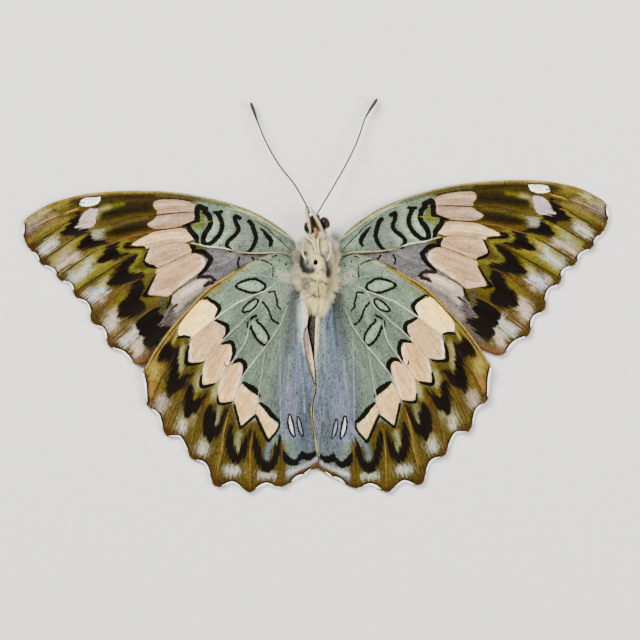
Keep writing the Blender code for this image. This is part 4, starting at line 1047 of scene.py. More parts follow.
def hind_edge(skin):
    """The leading edge that shows over the forewing: two gold cords with a dark line between them."""
    edge = smooth_curve(HIND_LEADING, 4)
    wash(skin, "#5a4a18", edge[20:], (0.8, 1.4, 1.6, 1.7), 0.3)
    wash(skin, "#94793a", shifted(edge[22:], (10, -9), 0.16), 0.2, 0.12, 0.9)
    wash(skin, "#7c6226", shifted(edge[24:], (10, -9), 0.62), 0.2, 0.12, 0.9)
    wash(skin, "#241a08", shifted(edge[26:], (10, -9), 0.4), 0.14, 0.1, 0.9)
    near, gap = reach_of(skin, edge[18:], 0.3, FAR)
    skin["relief"][near] = np.maximum(skin["relief"][near], 0.08 * np.exp(-(np.maximum(gap, 0) / 0.2) ** 2))


def paint_hindwing(drawn, folds):
    skin = blank(drawn, SEA_GREEN)
    for colour, soft, loop in HIND_AREAS:
        wash(skin, colour, loop, None, soft)
    for colour, width, soft, strength, path in HIND_STROKES + HIND_FOLD_STROKES:
        wash(skin, colour, path, width, soft, strength)
    for colour, loop in HIND_LOOP_TINTS:
        wash(skin, colour, loop, None, 0.3, 0.8)
    for colour, width, soft, path in HIND_GLOW:
        lay(skin, "glow", colour, path, width, soft)
    for colour, loop in HIND_PATCHES:
        lay(skin, "patch", colour, loop, grow=0.08)
    tint = dict(skin, ground=skin["patch_tint"])
    for colour, width, soft, strength, path in HIND_PATCH_TINTS:
        wash(tint, colour, path, width, soft, strength)
    for width, path in HIND_LOOPS_AND_EDGE_SHADOW:
        lay(skin, "mark", SOOT, path, 1.35 * width)
    for width, path in HIND_DARK:
        lay(skin, "mark", SOOT, path, 1.4 * np.array(width))
    for loop in HIND_CHEVRONS:
        wash(skin, DEEP_OLIVE, loop, None, 0.9, 0.6)
        lay(skin, "dusk", WARM_SOOT, loop, grow=0.15)
    lay(skin, "mark", SOOT, HIND_BAND, None, 2.0)
    for colour, width, outline, path in HIND_EYES:
        lay(skin, "mark", SOOT, path, outline)
        lay(skin, "line", colour, path, width)
    for colour, width, path in HIND_TIPS:
        wash(skin, colour, path, width, 0.4)
    hind_edge(skin)
    for colour, width, path in HIND_VEINS:
        vein(skin, colour, path, width)
    arcs(skin, HIND_ARCS, (8.0, -10.0))
    for colour, width, soft, path in folds:
        wash(skin, colour, path, width, soft, 0.9)
    return skin


# %% [markdown]
# ## Inner folds
# The inner edges of the hindwings are creased lengthwise and curl up beside the body, so their
# stripes of cream, pink and grey differ from left to right. They are drawn where they lie.

# %% Inner folds
RIGHT_FOLDS = [
    ("#f0e8c4", (0.9, 0.9, 0.2), 0.4, at(1.5,-0.7, 1.45,-1.6, 1.2,-2.6)),
    ("#454c4e", (0.3, 0.9, 1.0, 0.4), 0.5, at(1.1,-16.2, 1.4,-17.6, 1.6,-19, 1.5,-21)),
    ("#7c8480", (0.5, 0.7, 0.4), 0.3, at(1,-4, 0.95,-6, 0.8,-10)),
    ("#d0c28c", (0.5, 0.55, 0.35, 0.15), 0.2, at(0.24,-3.1, 0.22,-4.8, 0.14,-6.6, 0,-8.6)),
    ("#e0c4a0", 0.2, 0.12, at(0.05,-4.3, 0.03,-5.3, 0,-6.2)),
    ("#5a4028", 0.09, 0.08, at(0.26,-4.6, 0.26,-5.6)),
    ("#8d937c", 0.18, 0.15, at(0.05,-8.8, 0.16,-10.5, 0.25,-12.8)),
    (CREAM_LINE, 0.22, 0.12, at(-0.05,-13, -0.25,-14.5, -0.4,-15.7, -0.38,-16.6, -0.2,-18.3, 0.05,-19.5,
     0.3,-20.8, 0.5,-22)),
    ("#2e2a24", 0.12, 0.1, at(1,-17.5, 0.8,-19, 0.65,-20.3, 0.5,-21.8)),
    ("#3a2c1c", 0.3, 0.2, at(0.4,-22.4, 0.4,-23.4)),
    ("#6e6a78", 0.25, 0.2, at(1,-13, 1.1,-15, 1.2,-17.2)),
    ("#7a858c", 0.3, 0.2, at(1.1,-3.5, 1.3,-6.5, 1.3,-10.5)),
    ("#4f585c", 0.16, 0.2, at(0.75,-6.2, 0.85,-8, 0.85,-11)),
    ("#1c1f21", 0.09, 0.07, at(2.06,-2.1, 1.8,-3.3, 1.45,-4.7)),
]
LEFT_FOLDS = [
    ("#3c4348", (0.5, 1.4, 1.7, 0.5), 0.6, at(-1.6,-13, -1.6,-15.5, -1.5,-18.5, -1.4,-21)),
    ("#8f9a9c", 0.8, 0.4, at(-2.15,-0.8, -2.1,-3, -2,-6.2)),
    ("#cdc2a2", (0.8, 0.7, 0.3), 0.25, at(-1.4,-0.9, -1.35,-2.6, -1.35,-4.1)),
    ("#ccccb8", (0.4, 0.4, 0.35, 0.3, 0.1), 0.25, at(-1.8,-0.8, -1.7,-2.4, -1.72,-4.2, -1.7,-6.2,
     -1.5,-8.2)),
    ("#d9b48c", 0.24, 0.15, at(-1.1,-2.9, -1.15,-3.8, -1.35,-4.4)),
    ("#8c7264", (0.35, 0.9, 0.95, 0.9, 0.65, 0.25), 0.08, at(-1.05,-4.6, -1.13,-6, -0.95,-7.5, -0.62,-9,
     -0.32,-10.4, -0.05,-11.7)),
    ("#c6b090", (0.1, 0.4, 0.5, 0.4, 0.2), 0.2, at(-0.8,-6.9, -0.6,-8.2, -0.42,-9.4, -0.2,-10.6,
     -0.03,-11.6)),
    ("#2a210e", 0.13, 0.09, at(-1.05,-4.3, -1.35,-4.7, -1.56,-5.3, -1.61,-6.1, -1.43,-7.6, -1.08,-9.2,
     -0.66,-10.65, -0.27,-11.8, -0.1,-12.9)),
    ("#4a3426", 0.12, 0.1, at(-0.98,-4.5, -0.72,-5.9, -0.5,-7.3, -0.25,-8.7)),
    (CREAM_LINE, 0.24, 0.12, at(0,-12.4, -0.25,-14.4, -0.6,-15.9, -0.55,-17.2, -0.2,-18.4, 0.1,-20,
     0.25,-21.6)),
    ("#3a2c18", 0.2, 0.12, at(-0.85,-15.8, -0.5,-17.6, -0.2,-19.4)),
    ("#2e2a24", 0.12, 0.1, at(-0.8,-18.2, -0.3,-20, -0.1,-21.5)),
    ("#6c7a84", 0.3, 0.2, at(-2.3,-7, -2.1,-9, -1.7,-12, -1.5,-16)),
    ("#434c52", 0.2, 0.2, at(-2,-8, -1.8,-9.5, -1.3,-13)),
]


def paint_right_hindwing(drawn):
    return paint_hindwing(drawn, RIGHT_FOLDS)


def paint_left_hindwing(drawn):
    folds = [(colour, width, soft, as_drawn(np.array(path), LEFT_HIND_SET))
             for colour, width, soft, path in LEFT_FOLDS]
    return paint_hindwing(drawn, folds)

# %% [markdown]
# ## The upper side of the wings
# The upper side faces the surface that the specimen rests on. The photograph doesn't show it, so it
# is painted as such a butterfly usually looks: dark brown, with the pale band showing through, a
# blue-green bloom near the body and black chevrons.

# %% Upper side
def paint_forewing_back(drawn):
    skin = blank(drawn, "#2b1c0e")
    wash(skin, "#3d5a52", FORE_AREAS[0][2], None, 2.0, 0.6)
    for colour, loop in FORE_PATCHES:
        lay(skin, "patch", "#c9b88e", loop, None, 1.5)
    for colour, loop, soft in FORE_PALE_SPOTS[:2]:
        lay(skin, "patch", "#d8d0bc", loop, None, 1.5)
    for loop in FORE_CHEVRONS:
        lay(skin, "mark", SOOT, loop, None, 1.5)
    arcs(skin, FORE_ARCS, (20.0, 5.0))
    return skin


def paint_hindwing_back(drawn):
    skin = blank(drawn, "#33240f")
    wash(skin, "#4c7068", HIND_AREAS[0][2], None, 2.0, 0.8)
    wash(skin, "#8f9aa0", HIND_AREAS[1][2], None, 1.5, 0.6)
    for colour, loop in HIND_PATCHES:
        lay(skin, "patch", "#c9b88e", loop, None, 1.5)
    for loop in HIND_CHEVRONS:
        lay(skin, "mark", SOOT, loop, None, 1.5)
    arcs(skin, HIND_ARCS, (8.0, -10.0))
    return skin

# %% [markdown]
# ## Wing scales
# Wing scales are thin chitin plates, about 0.15 mm long, that overlap in rows like roof tiles. They
# make the surface matt with a faint silky gloss. One material reads the painted layers, breaks their
# edges up by a random value per scale and by streaks along the veins, and varies the brightness of
# each scale. The pearly glows are streaked most, the fine lines hardly at all.

# %% Wing scale material
SCALE_SIZE = 0.17                   # a real scale is narrower, which this picture can't show
EDGES = {"glow": (0.06, 0.20, 0.26), "patch": (0.04, 0.02, 0.05), "dusk": (0.06, 0.30, 0.16),
         "mark": (0.045, 0.02, 0.05), "line": (0.015, 0.0, 0.05)}
FLECK_SHARE = 0.07
FLECK_SHADE = 0.5


def scale_cover(tree, layer, scale, streak):
    """1 inside a mark and 0 outside it, with its edge pushed to and fro by the scale and streak values."""
    by_scale, by_streak, width = EDGES[layer]
    push = node(tree, "Attribute", attribute_name=layer).outputs["Fac"]
    push = node(tree, "Math", [scale, by_scale, push], operation='MULTIPLY_ADD').outputs["Value"]
    push = node(tree, "Math", [streak, by_streak, push], operation='MULTIPLY_ADD').outputs["Value"]
    return node(tree, "MapRange", [push, width, -width, 0.0, 1.0],
                interpolation_type='SMOOTHSTEP').outputs["Result"]


WING_SCALES, tree, shader = new_material("wing_scales_of_chitin")
place = node(tree, "TexCoord").outputs["Object"]
grain = node(tree, "Attribute", attribute_name="grain").outputs["Vector"]
scales = node(tree, "TexVoronoi", {"Vector": place, "Scale": 1 / (SCALE_SIZE * MM), "Randomness": 0.9},
              voronoi_dimensions='2D')
single = node(tree, "SeparateColor", {"Color": scales.outputs["Color"]}).outputs
streak_map = node(tree, "Mapping", {"Vector": grain, "Scale": (0.35, 3.6, 1.0)})
streaks = node(tree, "TexNoise", {"Vector": streak_map.outputs["Vector"], "Scale": 1.0, "Detail": 4.0,
                                  "Roughness": 0.62}, noise_dimensions='2D').outputs["Fac"]
cloud = node(tree, "TexNoise", {"Vector": place, "Scale": 0.9 / MM, "Detail": 3.0},
             noise_dimensions='2D').outputs["Fac"]

# Dark flecks lie in the ground only. Over it come the layers, each over the last.
scale_push = node(tree, "MapRange", [single["Red"], 0.0, 1.0, -1.0, 1.0]).outputs["Result"]
streak_push = node(tree, "MapRange", [streaks, 0.3, 0.7, -1.0, 1.0]).outputs["Result"]
flecks = node(tree, "MapRange", [single["Blue"], FLECK_SHARE, FLECK_SHARE + 0.03, FLECK_SHADE, 1.0])
ground = node(tree, "Attribute", attribute_name="ground").outputs["Color"]
colour = node(tree, "HueSaturation", {"Color": ground, "Value": flecks.outputs["Result"]}).outputs["Color"]
for layer in LAYERS:
    cover = scale_cover(tree, layer, scale_push, streak_push)
    tint = node(tree, "Attribute", attribute_name=layer + "_tint").outputs["Color"]
    colour = node(tree, "MixRGB", {"Fac": cover, "Color1": colour, "Color2": tint}).outputs["Color"]

# Each scale is a little lighter or darker, rays streak the colour along the veins, and clouds vary it.
each = node(tree, "MapRange", [single["Green"], 0.0, 1.0, 0.80, 1.20]).outputs["Result"]
along_rays = node(tree, "MapRange", [streaks, 0.3, 0.7, 0.70, 1.30]).outputs["Result"]
clouds = node(tree, "MapRange", [cloud, 0.3, 0.7, 0.92, 1.08]).outputs["Result"]
value = node(tree, "Math", [each, along_rays], operation='MULTIPLY').outputs["Value"]
value = node(tree, "Math", [value, clouds], operation='MULTIPLY').outputs["Value"]
tinted = node(tree, "HueSaturation", {"Color": colour, "Value": value})
connect(tree, shader, {"Base Color": tinted.outputs["Color"]})

relief = node(tree, "Math", [scales.outputs["Distance"], streaks], operation='ADD')
bump = node(tree, "Bump", {"Height": relief.outputs["Value"], "Strength": 0.35, "Distance": 0.02 * MM})
connect(tree, shader, {"Normal": bump.outputs["Normal"], "Roughness": 0.62, "Specular IOR Level": 0.04,
                       "IOR": 1.56})

# %% [markdown]
# ## Building a wing
# A wing is two sheets of scales on a membrane thinner than paper. The grid of the Coons patch gives
# its plan and the direction of its streaks, the height function lifts it, the painter colours it from
# the drawn plan, and the veins raise it a little. The lower sheet is the upper side in life.

# %% Wings
FORE_GRID = (190, 240)
HIND_GRID = (236, 192)
MEMBRANE = 0.15
EDGE_MEMBRANE = 0.04


def length_of(path):
    return np.linalg.norm(np.diff(path, axis=0), axis=1).sum()


def wing(name, edges, grid, height, setting, paint_upper, paint_lower):
    columns, rows = grid
    root, leading, margin, inner = edges
    reach = length_of(leading)
    spread = length_of(margin)
    plan = sheet_between(smooth_curve(root), smooth_curve(leading), smooth_curve(margin, 10),
                         smooth_curve(inner), columns, rows)
    drawn = as_drawn(plan, setting)
    level = height(drawn, plan) + pleats(margin, columns, rows)
    count = (columns + 1) * (rows + 1)
    flat = drawn.reshape(count, 2)
    upper, lower = paint_upper(flat), paint_lower(flat)
    u = np.linspace(0.0, 1.0, columns + 1)[:, None]
    v = np.linspace(0.0, 1.0, rows + 1)[None, :]
    rim = ease(np.minimum(np.minimum(u, 1 - u) / 0.02, np.minimum(v, 1 - v) / 0.015))
    thickness = EDGE_MEMBRANE + (MEMBRANE - EDGE_MEMBRANE) * rim
    relief = upper["relief"].reshape(columns + 1, rows + 1) * rim
    top = np.dstack([plan, level + 0.5 * thickness + relief])
    bottom = np.dstack([plan, level - 0.5 * thickness + 0.6 * relief])
    points = np.vstack([top.reshape(count, 3), bottom.reshape(count, 3)])
    faces = shell_faces(columns + 1, rows + 1)
    sheet = make_mesh(name + "_membrane", points, faces, flip=setting is not None)
    sheet.data.set_sharp_from_angle(angle=math.radians(50.0))
    for layer in STORED_LAYERS:
        values = np.concatenate([upper[layer], lower[layer]])
        store(sheet, layer, values if layer in LAYERS else values ** 2)
    grain = np.stack([v * reach + 0 * u, u * spread + 0 * v, 0 * u * v], axis=2).reshape(count, 3)
    store(sheet, "grain", np.vstack([grain, grain]))
    finish_piece(sheet, WING_SCALES, [name])
    return top[:, -1]


margins = {}
for side, setting in (("right", RIGHT_SET), ("left", LEFT_FORE_SET)):
    edges = [placed(edge, setting) for edge in (FORE_ROOT, FORE_LEADING, FORE_MARGIN, FORE_INNER)]
    margins[side + "_forewing"] = wing(side + "_forewing", edges, FORE_GRID, fore_height, setting,
                                       paint_forewing, paint_forewing_back)
for side, setting, inner, paint in (("right", RIGHT_SET, RIGHT_INNER, paint_right_hindwing),
                                    ("left", LEFT_HIND_SET, LEFT_INNER, paint_left_hindwing)):
    edges = [placed(edge, setting) for edge in (HIND_ROOT, HIND_LEADING, HIND_MARGIN)]
    edges[2] = np.vstack([edges[2], inner[-1]])
    margins[side + "_hindwing"] = wing(side + "_hindwing", edges + [inner], HIND_GRID, hind_height,
                                       setting, paint, paint_hindwing_back)

# %% [markdown]
# ## Fringe
# The margin of each wing ends in a fringe of long narrow scales, white in the bays and brown on the
# vein tips. Each is a tapered three-sided spike, joined with the rest into one mesh. The same function
# makes the fur and the scales of the body, where only length, stoutness and lie differ.

# %% Spikes
def unit(vectors):
    return vectors / np.maximum(np.linalg.norm(vectors, axis=-1, keepdims=True), 1e-9)


def spikes(name, roots, start_way, end_way, lengths, stoutness, tints, painted_root_shade=0.75):
    """Tapered spikes of three sides. With ways a and b, a spike's middle line at the share s of its
    length L is root + L (a s + (b - a) s^2 / 2). Rings stand at s = 0 and 0.5, and the tip at 1. One
    side faces out of the bend and is shaded flat, as a scale or a flattened hair is."""
    count = len(roots)
    start_way, end_way = unit(start_way), unit(end_way)
    lengths = np.broadcast_to(lengths, count)[:, None]
    stoutness = np.broadcast_to(stoutness, count)[:, None]
    bend = end_way - start_way
    middle = roots + lengths * (0.5 * start_way + 0.125 * bend)
    tip = roots + lengths * (start_way + 0.5 * bend)
    sideways = unit(np.cross(start_way, end_way + (0.013, 0.029, 0.017)))
    upwards = np.cross(start_way, sideways)
    angles = math.pi / 6 + np.arange(3) * 2 * math.pi / 3
    around = (np.cos(angles)[None, :, None] * sideways[:, None]
              + np.sin(angles)[None, :, None] * upwards[:, None])
    points = np.concatenate([roots[:, None] + 0.5 * stoutness[:, None] * around,
                             middle[:, None] + 0.36 * stoutness[:, None] * around,
                             tip[:, None]], axis=1)
    base = 7 * np.arange(count)[:, None, None]
    quads = np.array([[0, 1, 4, 3], [1, 2, 5, 4], [2, 0, 3, 5]])[None] + base
    ends = np.array([[3, 4, 6], [4, 5, 6], [5, 3, 6], [2, 1, 0]])[None] + base
    made = make_mesh(name, points.reshape(-1, 3), quads.reshape(-1, 4), ends.reshape(-1, 3))
    made.data.shade_flat()
    # Painted shade: the ring at the root of each spike is darker by this factor, for the shade where hairs
    # and scales crowd at their roots.
    shades = np.array([painted_root_shade] * 3 + [1.0] * 4)[None, :, None]
    store(made, "tint", (tints[:, None] * shades).reshape(-1, 3))
    return made

# %% Hair material
# Insect hair and hair-like scales: hollow chitin with a dry silky gloss. The colour comes from the
# tint of each spike, varied a little along the body by noise.
HAIR, tree, shader = new_material("insect_hair")
place = node(tree, "TexCoord")
patchy = node(tree, "TexNoise", {"Vector": place.outputs["Object"], "Scale": 1.2 / MM, "Detail": 2.0})
shade = node(tree, "MapRange", [patchy.outputs["Fac"], 0.3, 0.7, 0.85, 1.12])
tint = node(tree, "Attribute", attribute_name="tint")
tinted = node(tree, "HueSaturation", {"Color": tint.outputs["Color"], "Value": shade.outputs["Result"]})
connect(tree, shader, {"Base Color": tinted.outputs["Color"], "Roughness": 0.5, "Specular IOR Level": 0.4,
                       "Sheen Weight": 0.1, "Sheen Roughness": 0.4, "Sheen Tint": (1.0, 0.9, 0.6, 1.0),
                       "Subsurface Weight": 0.4, "Subsurface Radius": (1.0, 0.85, 0.6),
                       "Subsurface Scale": 0.2 * MM, "IOR": 1.56})

# %% Fringe on each wing
FRINGE_SPACING = 0.045
FRINGE_LENGTH = 0.30
FRINGE_STOUT = 0.07
WHITE_FRINGE = "#e9ebe2"
BROWN_FRINGE = "#3f2a12"
WHITE_SHARE = 0.30          # how far the white reaches to each side of a bay's middle, in shares of a cell

rng = np.random.default_rng(11)
for name, line in margins.items():
    count = int(np.linalg.norm(np.diff(line, axis=0), axis=1).sum() / FRINGE_SPACING)
    shares = (np.arange(count) + rng.uniform(0.1, 0.9, count)) / count
    roots = along(line, shares)
    ahead = unit(along(line, np.minimum(shares + 0.003, 1.0)) - along(line, np.maximum(shares - 0.003, 0.0)))
    outwards = np.stack([ahead[:, 1], -ahead[:, 0], np.zeros(count)], axis=1)
    outwards *= np.sign((outwards * (roots - line.mean(axis=0))).sum(axis=1, keepdims=True).mean())
    tips = length_shares(np.array(FORE_MARGIN if "fore" in name else HIND_MARGIN))[VEIN_TIPS]
    place_in_cell = np.interp(shares, tips, np.arange(CELLS + 1)) % 1.0
    white = np.abs(place_in_cell - 0.45) < WHITE_SHARE + rng.normal(0, 0.02, count)
    tints = np.where(white[:, None], linear(WHITE_FRINGE), linear(BROWN_FRINGE))
    tints = tints * rng.uniform(0.85, 1.15, (count, 1))
    way = outwards + rng.normal(0, 0.12, (count, 3)) * (1, 1, 0.6)
    fringe = spikes(name + "_fringe", roots - 0.10 * outwards - (0, 0, 0.02), way, way - (0, 0, 0.15),
                    rng.uniform(0.8, 1.15, count) * FRINGE_LENGTH, FRINGE_STOUT, tints)
    finish_piece(fringe, HAIR)

# %% [markdown]
# ## Thorax
# The thorax holds the wing muscles and is covered in fur, matted here into tufts. Under the fur is a
# skin lofted through elliptical stations, a little smaller than the solid, so that the tips of the
# fur end where the solid does. The hole is where a pin went through: the skin's points near it are
# pushed down, which gives the hole real walls.

# %% Thorax skin
THORAX_X = 0.2
THORAX_STATIONS = [
    (-0.9, 0.5, 1.9, 0.7),
    (-0.4, 1.15, 2.1, 1.4),
    (0.6, 1.75, 2.45, 2.2),
    (1.8, 2.15, 2.7, 2.85),
    (3.6, 2.35, 2.75, 3.0),
    (5.3, 2.2, 2.75, 2.95),
    (6.4, 1.85, 2.75, 2.5),
    (7.2, 1.3, 2.7, 1.8),
    (7.65, 0.6, 2.7, 0.8),
]
PIN_HOLE = np.array([0.02, 4.3])
PIN_HOLE_RADIUS = 0.34
PIN_HOLE_DEPTH = 2.2
FUR_DEPTH = 0.42


def body_surface(stations, middle_x, sides, shrink=0.0, lumps=0.0, steps=12):
    """Rings of a body: at each station y an ellipse (middle_x + w cos a, y, m + h sin a), with w and
    h less by the shrink, kept above the floor. Returns rings x sides points and outward ways."""
    curve = smooth_curve(stations, steps)
    y, width, middle, height = curve.T[:, :, None]
    angle = np.linspace(0.0, 2 * math.pi, sides, endpoint=False)[None, :]
    wave = 1.0 + lumps * np.sin(3.1 * angle + 2.3 * y) * np.sin(1.7 * y + 1.0)
    width, height = (np.maximum(v - shrink, 0.3 * v) * wave for v in (width, height))
    x = middle_x + width * np.cos(angle)
    z = np.maximum(middle + height * np.sin(angle), 0.05)
    ways = np.stack([np.cos(angle) / width, 0.0 * x, np.sin(angle) / height], axis=-1)
    slope = np.gradient(width[:, 0], curve[:, 0])[:, None]
    ways = unit(ways)
    ways[..., 1] = -slope
    return np.stack([x, y + 0.0 * x, z], axis=-1), unit(ways)


def loft(name, rings, flip=False):
    """Closes rings of points into a body: walls between the rings and a fan over each end."""
    count, sides = rings.shape[:2]
    points = np.vstack([rings.reshape(-1, 3), rings[0].mean(axis=0), rings[-1].mean(axis=0)])
    quads, ends = loft_faces(count, sides)
    return make_mesh(name, points, quads, ends, flip=flip)


thorax_rings, thorax_ways = body_surface(THORAX_STATIONS, THORAX_X, 120, FUR_DEPTH, 0.03)
from_hole = np.hypot(thorax_rings[..., 0] - PIN_HOLE[0], thorax_rings[..., 1] - PIN_HOLE[1])
in_hole = ease((PIN_HOLE_RADIUS + 0.08 - from_hole) / 0.12) * (thorax_rings[..., 2] > 2.7)
thorax_rings[..., 2] -= PIN_HOLE_DEPTH * in_hole
thorax = loft("thorax_skin", thorax_rings, flip=True)

# %% Cuticle material
# Chitin cuticle: hard, dark brown, with a dull wax shine and fine pits about 0.05 mm apart, drawn at
# 0.12 mm so that they show.
CUTICLE, tree, shader = new_material("dark_chitin_cuticle")
place = node(tree, "TexCoord")
pits = node(tree, "TexVoronoi", {"Vector": place.outputs["Object"], "Scale": 8.0 / MM})
blotch = node(tree, "TexNoise", {"Vector": place.outputs["Object"], "Scale": 1.5 / MM, "Detail": 4.0})
shade = node(tree, "MixRGB", {"Fac": blotch.outputs["Fac"], "Color1": (*linear("#1c110c"), 1),
                              "Color2": (*linear("#4a3426"), 1)})
bump = node(tree, "Bump", {"Height": pits.outputs["Distance"], "Strength": 0.4, "Distance": 0.02 * MM})
connect(tree, shader, {"Base Color": shade.outputs["Color"], "Normal": bump.outputs["Normal"],
                       "Roughness": 0.42, "Specular IOR Level": 0.35})

# %% Colours of the fur
# The fur is painted on the plan of the thorax like the wings: cream, with soot-grey patches where the
# plates show through, a thin dark seam behind the middle, a darker line painted as the shade in a
# groove down the rear plate, and strokes of painted shadow beside the forelegs, where they part the fur.
CREAM = "#ffeca0"
FUR_AREAS = [
    ("#fff0a0", 0.4, at(-0.5,1.5, 1.7,1.5, 1.6,-0.2, 0.5,-0.6, -0.4,-0.3)),
    ("#b8ac7c", 0.4, at(-1.9,7.6, -0.9,7.8, -1,6.2, -1.9,5.9)),
    ("#d2c6a0", 0.4, at(1.2,7.5, 2.1,7.3, 2.2,4.8, 1.3,4.9)),
    ("#7a766e", 0.3, at(-2.2,5.8, -1.3,5.7, -0.7,4.9, -0.5,3.2, -1,2.6, -2,3, -2.3,4.4)),
    ("#77736a", 0.3, at(1.3,4.7, 2,4.8, 2.4,3.4, 2.2,2.2, 1.6,2.2, 1.3,3.4)),
    ("#8a8474", 0.35, at(-2.2,2.2, -0.9,2.2, -0.9,0.6, -1.5,0.4, -2.1,1.2)),
    ("#a09a84", 0.35, at(1.7,1.8, 2.3,1.6, 2,0.2, 1.5,0)),
]
FUR_STROKES_AND_SHADE = [
    # Painted shadow: the two dark strokes below lie in the fur beside the forelegs.
    ("#5a5036", 0.5, 0.2, 0.75, at(-1.6,7.75, -1,7.45, -0.5,6.95, -0.28,6.4, -0.1,5.6)),
    ("#5a5036", 0.45, 0.2, 0.75, at(0.66,7.8, 0.5,7, 0.55,6.3, 0.62,5.7)),
    ("#f6f0d4", 0.4, 0.25, 0.8, at(-0.95,4.9, -0.75,4.4, -0.6,3.9)),
    ("#0a0908", 0.75, 0.3, 1.0, at(-1.5,3.2, -0.9,3.05, -0.45,3.15)),
    ("#0c0b0a", 0.6, 0.25, 1.0, at(-1.6,5.5, -1.95,4.8, -1.9,3.9, -1.6,3.3)),
    ("#f4f0e0", 0.3, 0.2, 0.8, at(-1.35,4.9, -1.3,4.5)),
    ("#1a1715", 0.35, 0.2, 0.9, at(1.55,4.2, 1.75,3.4)),
    ("#0c0a09", 0.55, 0.3, 1.0, at(1.8,2.9, 1.75,2.5)),
    ("#4a2c10", 0.36, 0.2, 1.0, at(0.95,5.15, 1.1,5.05)),
    ("#fbf8ea", 0.5, 0.3, 0.9, at(1.15,6.1, 1.25,5.9)),
    ("#4a3c14", 0.34, 0.2, 0.9, at(0.3,2.7, 0.4,2.5)),
    ("#4a3c14", 0.34, 0.2, 0.9, at(0.95,3.2, 1.05,3)),
    ("#fff0b8", 0.5, 0.3, 0.8, at(0.1,5.9, 0.25,4.9, 0.5,3.6, 0.4,2.3)),
    ("#2a1e0c", 0.22, 0.1, 1.0, at(-0.75,2, -0.3,1.72, 0.05,1.75)),
    ("#2a1e0c", 0.22, 0.1, 1.0, at(0.5,1.6, 1,1.55, 1.6,1.3)),
    # Painted shade: a darker line for the groove down the rear plate.
    ("#6a5820", 0.16, 0.1, 0.8, at(0.42,1.4, 0.4,0.4, 0.42,-0.3)),
    ("#2a1e0c", 0.24, 0.12, 0.95, at(-0.4,-0.1, 0.05,-0.42)),
    ("#2a1e0c", 0.24, 0.12, 0.95, at(0.45,-0.38, 0.6,-0.34)),
    ("#3a2c10", 0.2, 0.12, 0.9, at(-1,-1.75, -0.75,-2.3, -0.45,-2.9)),
    ("#3a2c10", 0.2, 0.12, 0.9, at(0.35,-2.2, 0.25,-2.6)),
]


def fur_colours(places):
    """The colour of the fur by place, painted from outlines on the plan of the thorax."""
    skin = blank(places[:, :2], CREAM)
    for colour, soft, loop in FUR_AREAS:
        wash(skin, colour, loop, None, soft, 0.9)
    for colour, width, soft, strength, path in FUR_STROKES_AND_SHADE:
        wash(skin, colour, path, width, soft, strength)
    return skin["ground"] ** 2


# The skin under the fur wears the same colours as the felt between the roots of the hairs, a tenth
# darker as painted shade under the hairs.
places = np.vstack([thorax_rings.reshape(-1, 3), thorax_rings[0].mean(axis=0), thorax_rings[-1].mean(axis=0)])
felt_in_painted_shade = fur_colours(places) * 0.9
in_hole = np.append(in_hole.ravel(), (0.0, 0.0))[:, None]
# The walls of the pin hole are painted near-black: painted shade inside the deep hole.
store(thorax, "tint", felt_in_painted_shade * (1 - in_hole) + linear("#120a06") * in_hole)
finish_piece(thorax, HAIR, ["thorax"])

# %% Clumps of hair
BRIGHTEST_HAIR = 0.97


def clumped(name, roots, normals, ways, lengths, tint_of, each, spread, gather, stout):
    """Hairs in clumps, as on any worn fur: the hairs of a clump start around its root and end near
    its tip, root + length * way, spread there by the gather times as much as at the root. Each bows
    outwards on its path. A function gives the tint from the hair's visible end and its clump. Hairs
    that would cross the hole are left out."""
    index = np.repeat(np.arange(len(roots)), each)
    spots = rng.normal(0, spread, (len(index), 3))
    start = roots[index] + spots
    tip = start + lengths[index, None] * ways[index] - (1.0 - gather) * spots
    reach = tip - start
    nearest = np.clip(((PIN_HOLE - start[:, :2]) * reach[:, :2]).sum(1) / (reach[:, :2] ** 2).sum(1), 0, 1)
    gap = start[:, :2] + nearest[:, None] * reach[:, :2] - PIN_HOLE
    clear = np.hypot(gap[:, 0], gap[:, 1]) > PIN_HOLE_RADIUS - 0.02
    start, tip, reach, index = start[clear], tip[clear], reach[clear], index[clear]
    length = np.linalg.norm(reach, axis=1)
    way = unit(reach)
    bow = 0.4 * normals[index]
    shade = tint_of(0.3 * start + 0.7 * tip, index) * rng.uniform(0.88, 1.12, (len(index), 1))
    shade = shade / np.maximum(shade.max(axis=1, keepdims=True) / BRIGHTEST_HAIR, 1.0)
    return spikes(name, start, way + bow, way - bow, length * rng.uniform(0.75, 1.1, len(index)),
                  stout * rng.uniform(0.7, 1.3, len(index)), shade, painted_root_shade=0.92)

# %% Fur of the thorax
# Short dense fur covers the thorax. Its clumps fan out from near the neck: forwards over the neck,
# sideways over the wing roots and backwards over the rest. A short coat fills in under a longer one,
# and both are shorter beside the legs and on the smooth plate at the rear.
FUR_COATS = [
    # name, clumps, hairs in each, length, spread, gather, stoutness
    ("thorax_undercoat", 3100, 6, 0.5, 0.16, 1.0, 0.06),
    ("thorax_fur", 1600, 12, 0.8, 0.13, 0.7, 0.045),
]
FUR_FLOOR = 1.2
REAR_PLATE = at(-0.5,1.5, 0.5,1.7, 1.7,1.4, 1.7,-0.1, 0.5,-0.5, -0.5,-0.2)
LEG_PARTINGS = [
    at(-1.6,7.8, -1,7.5, -0.4,7, -0.15,6.4, 0.08,5.6),
    at(0.5,7.9, 0.35,7.2, 0.4,5.7),
]

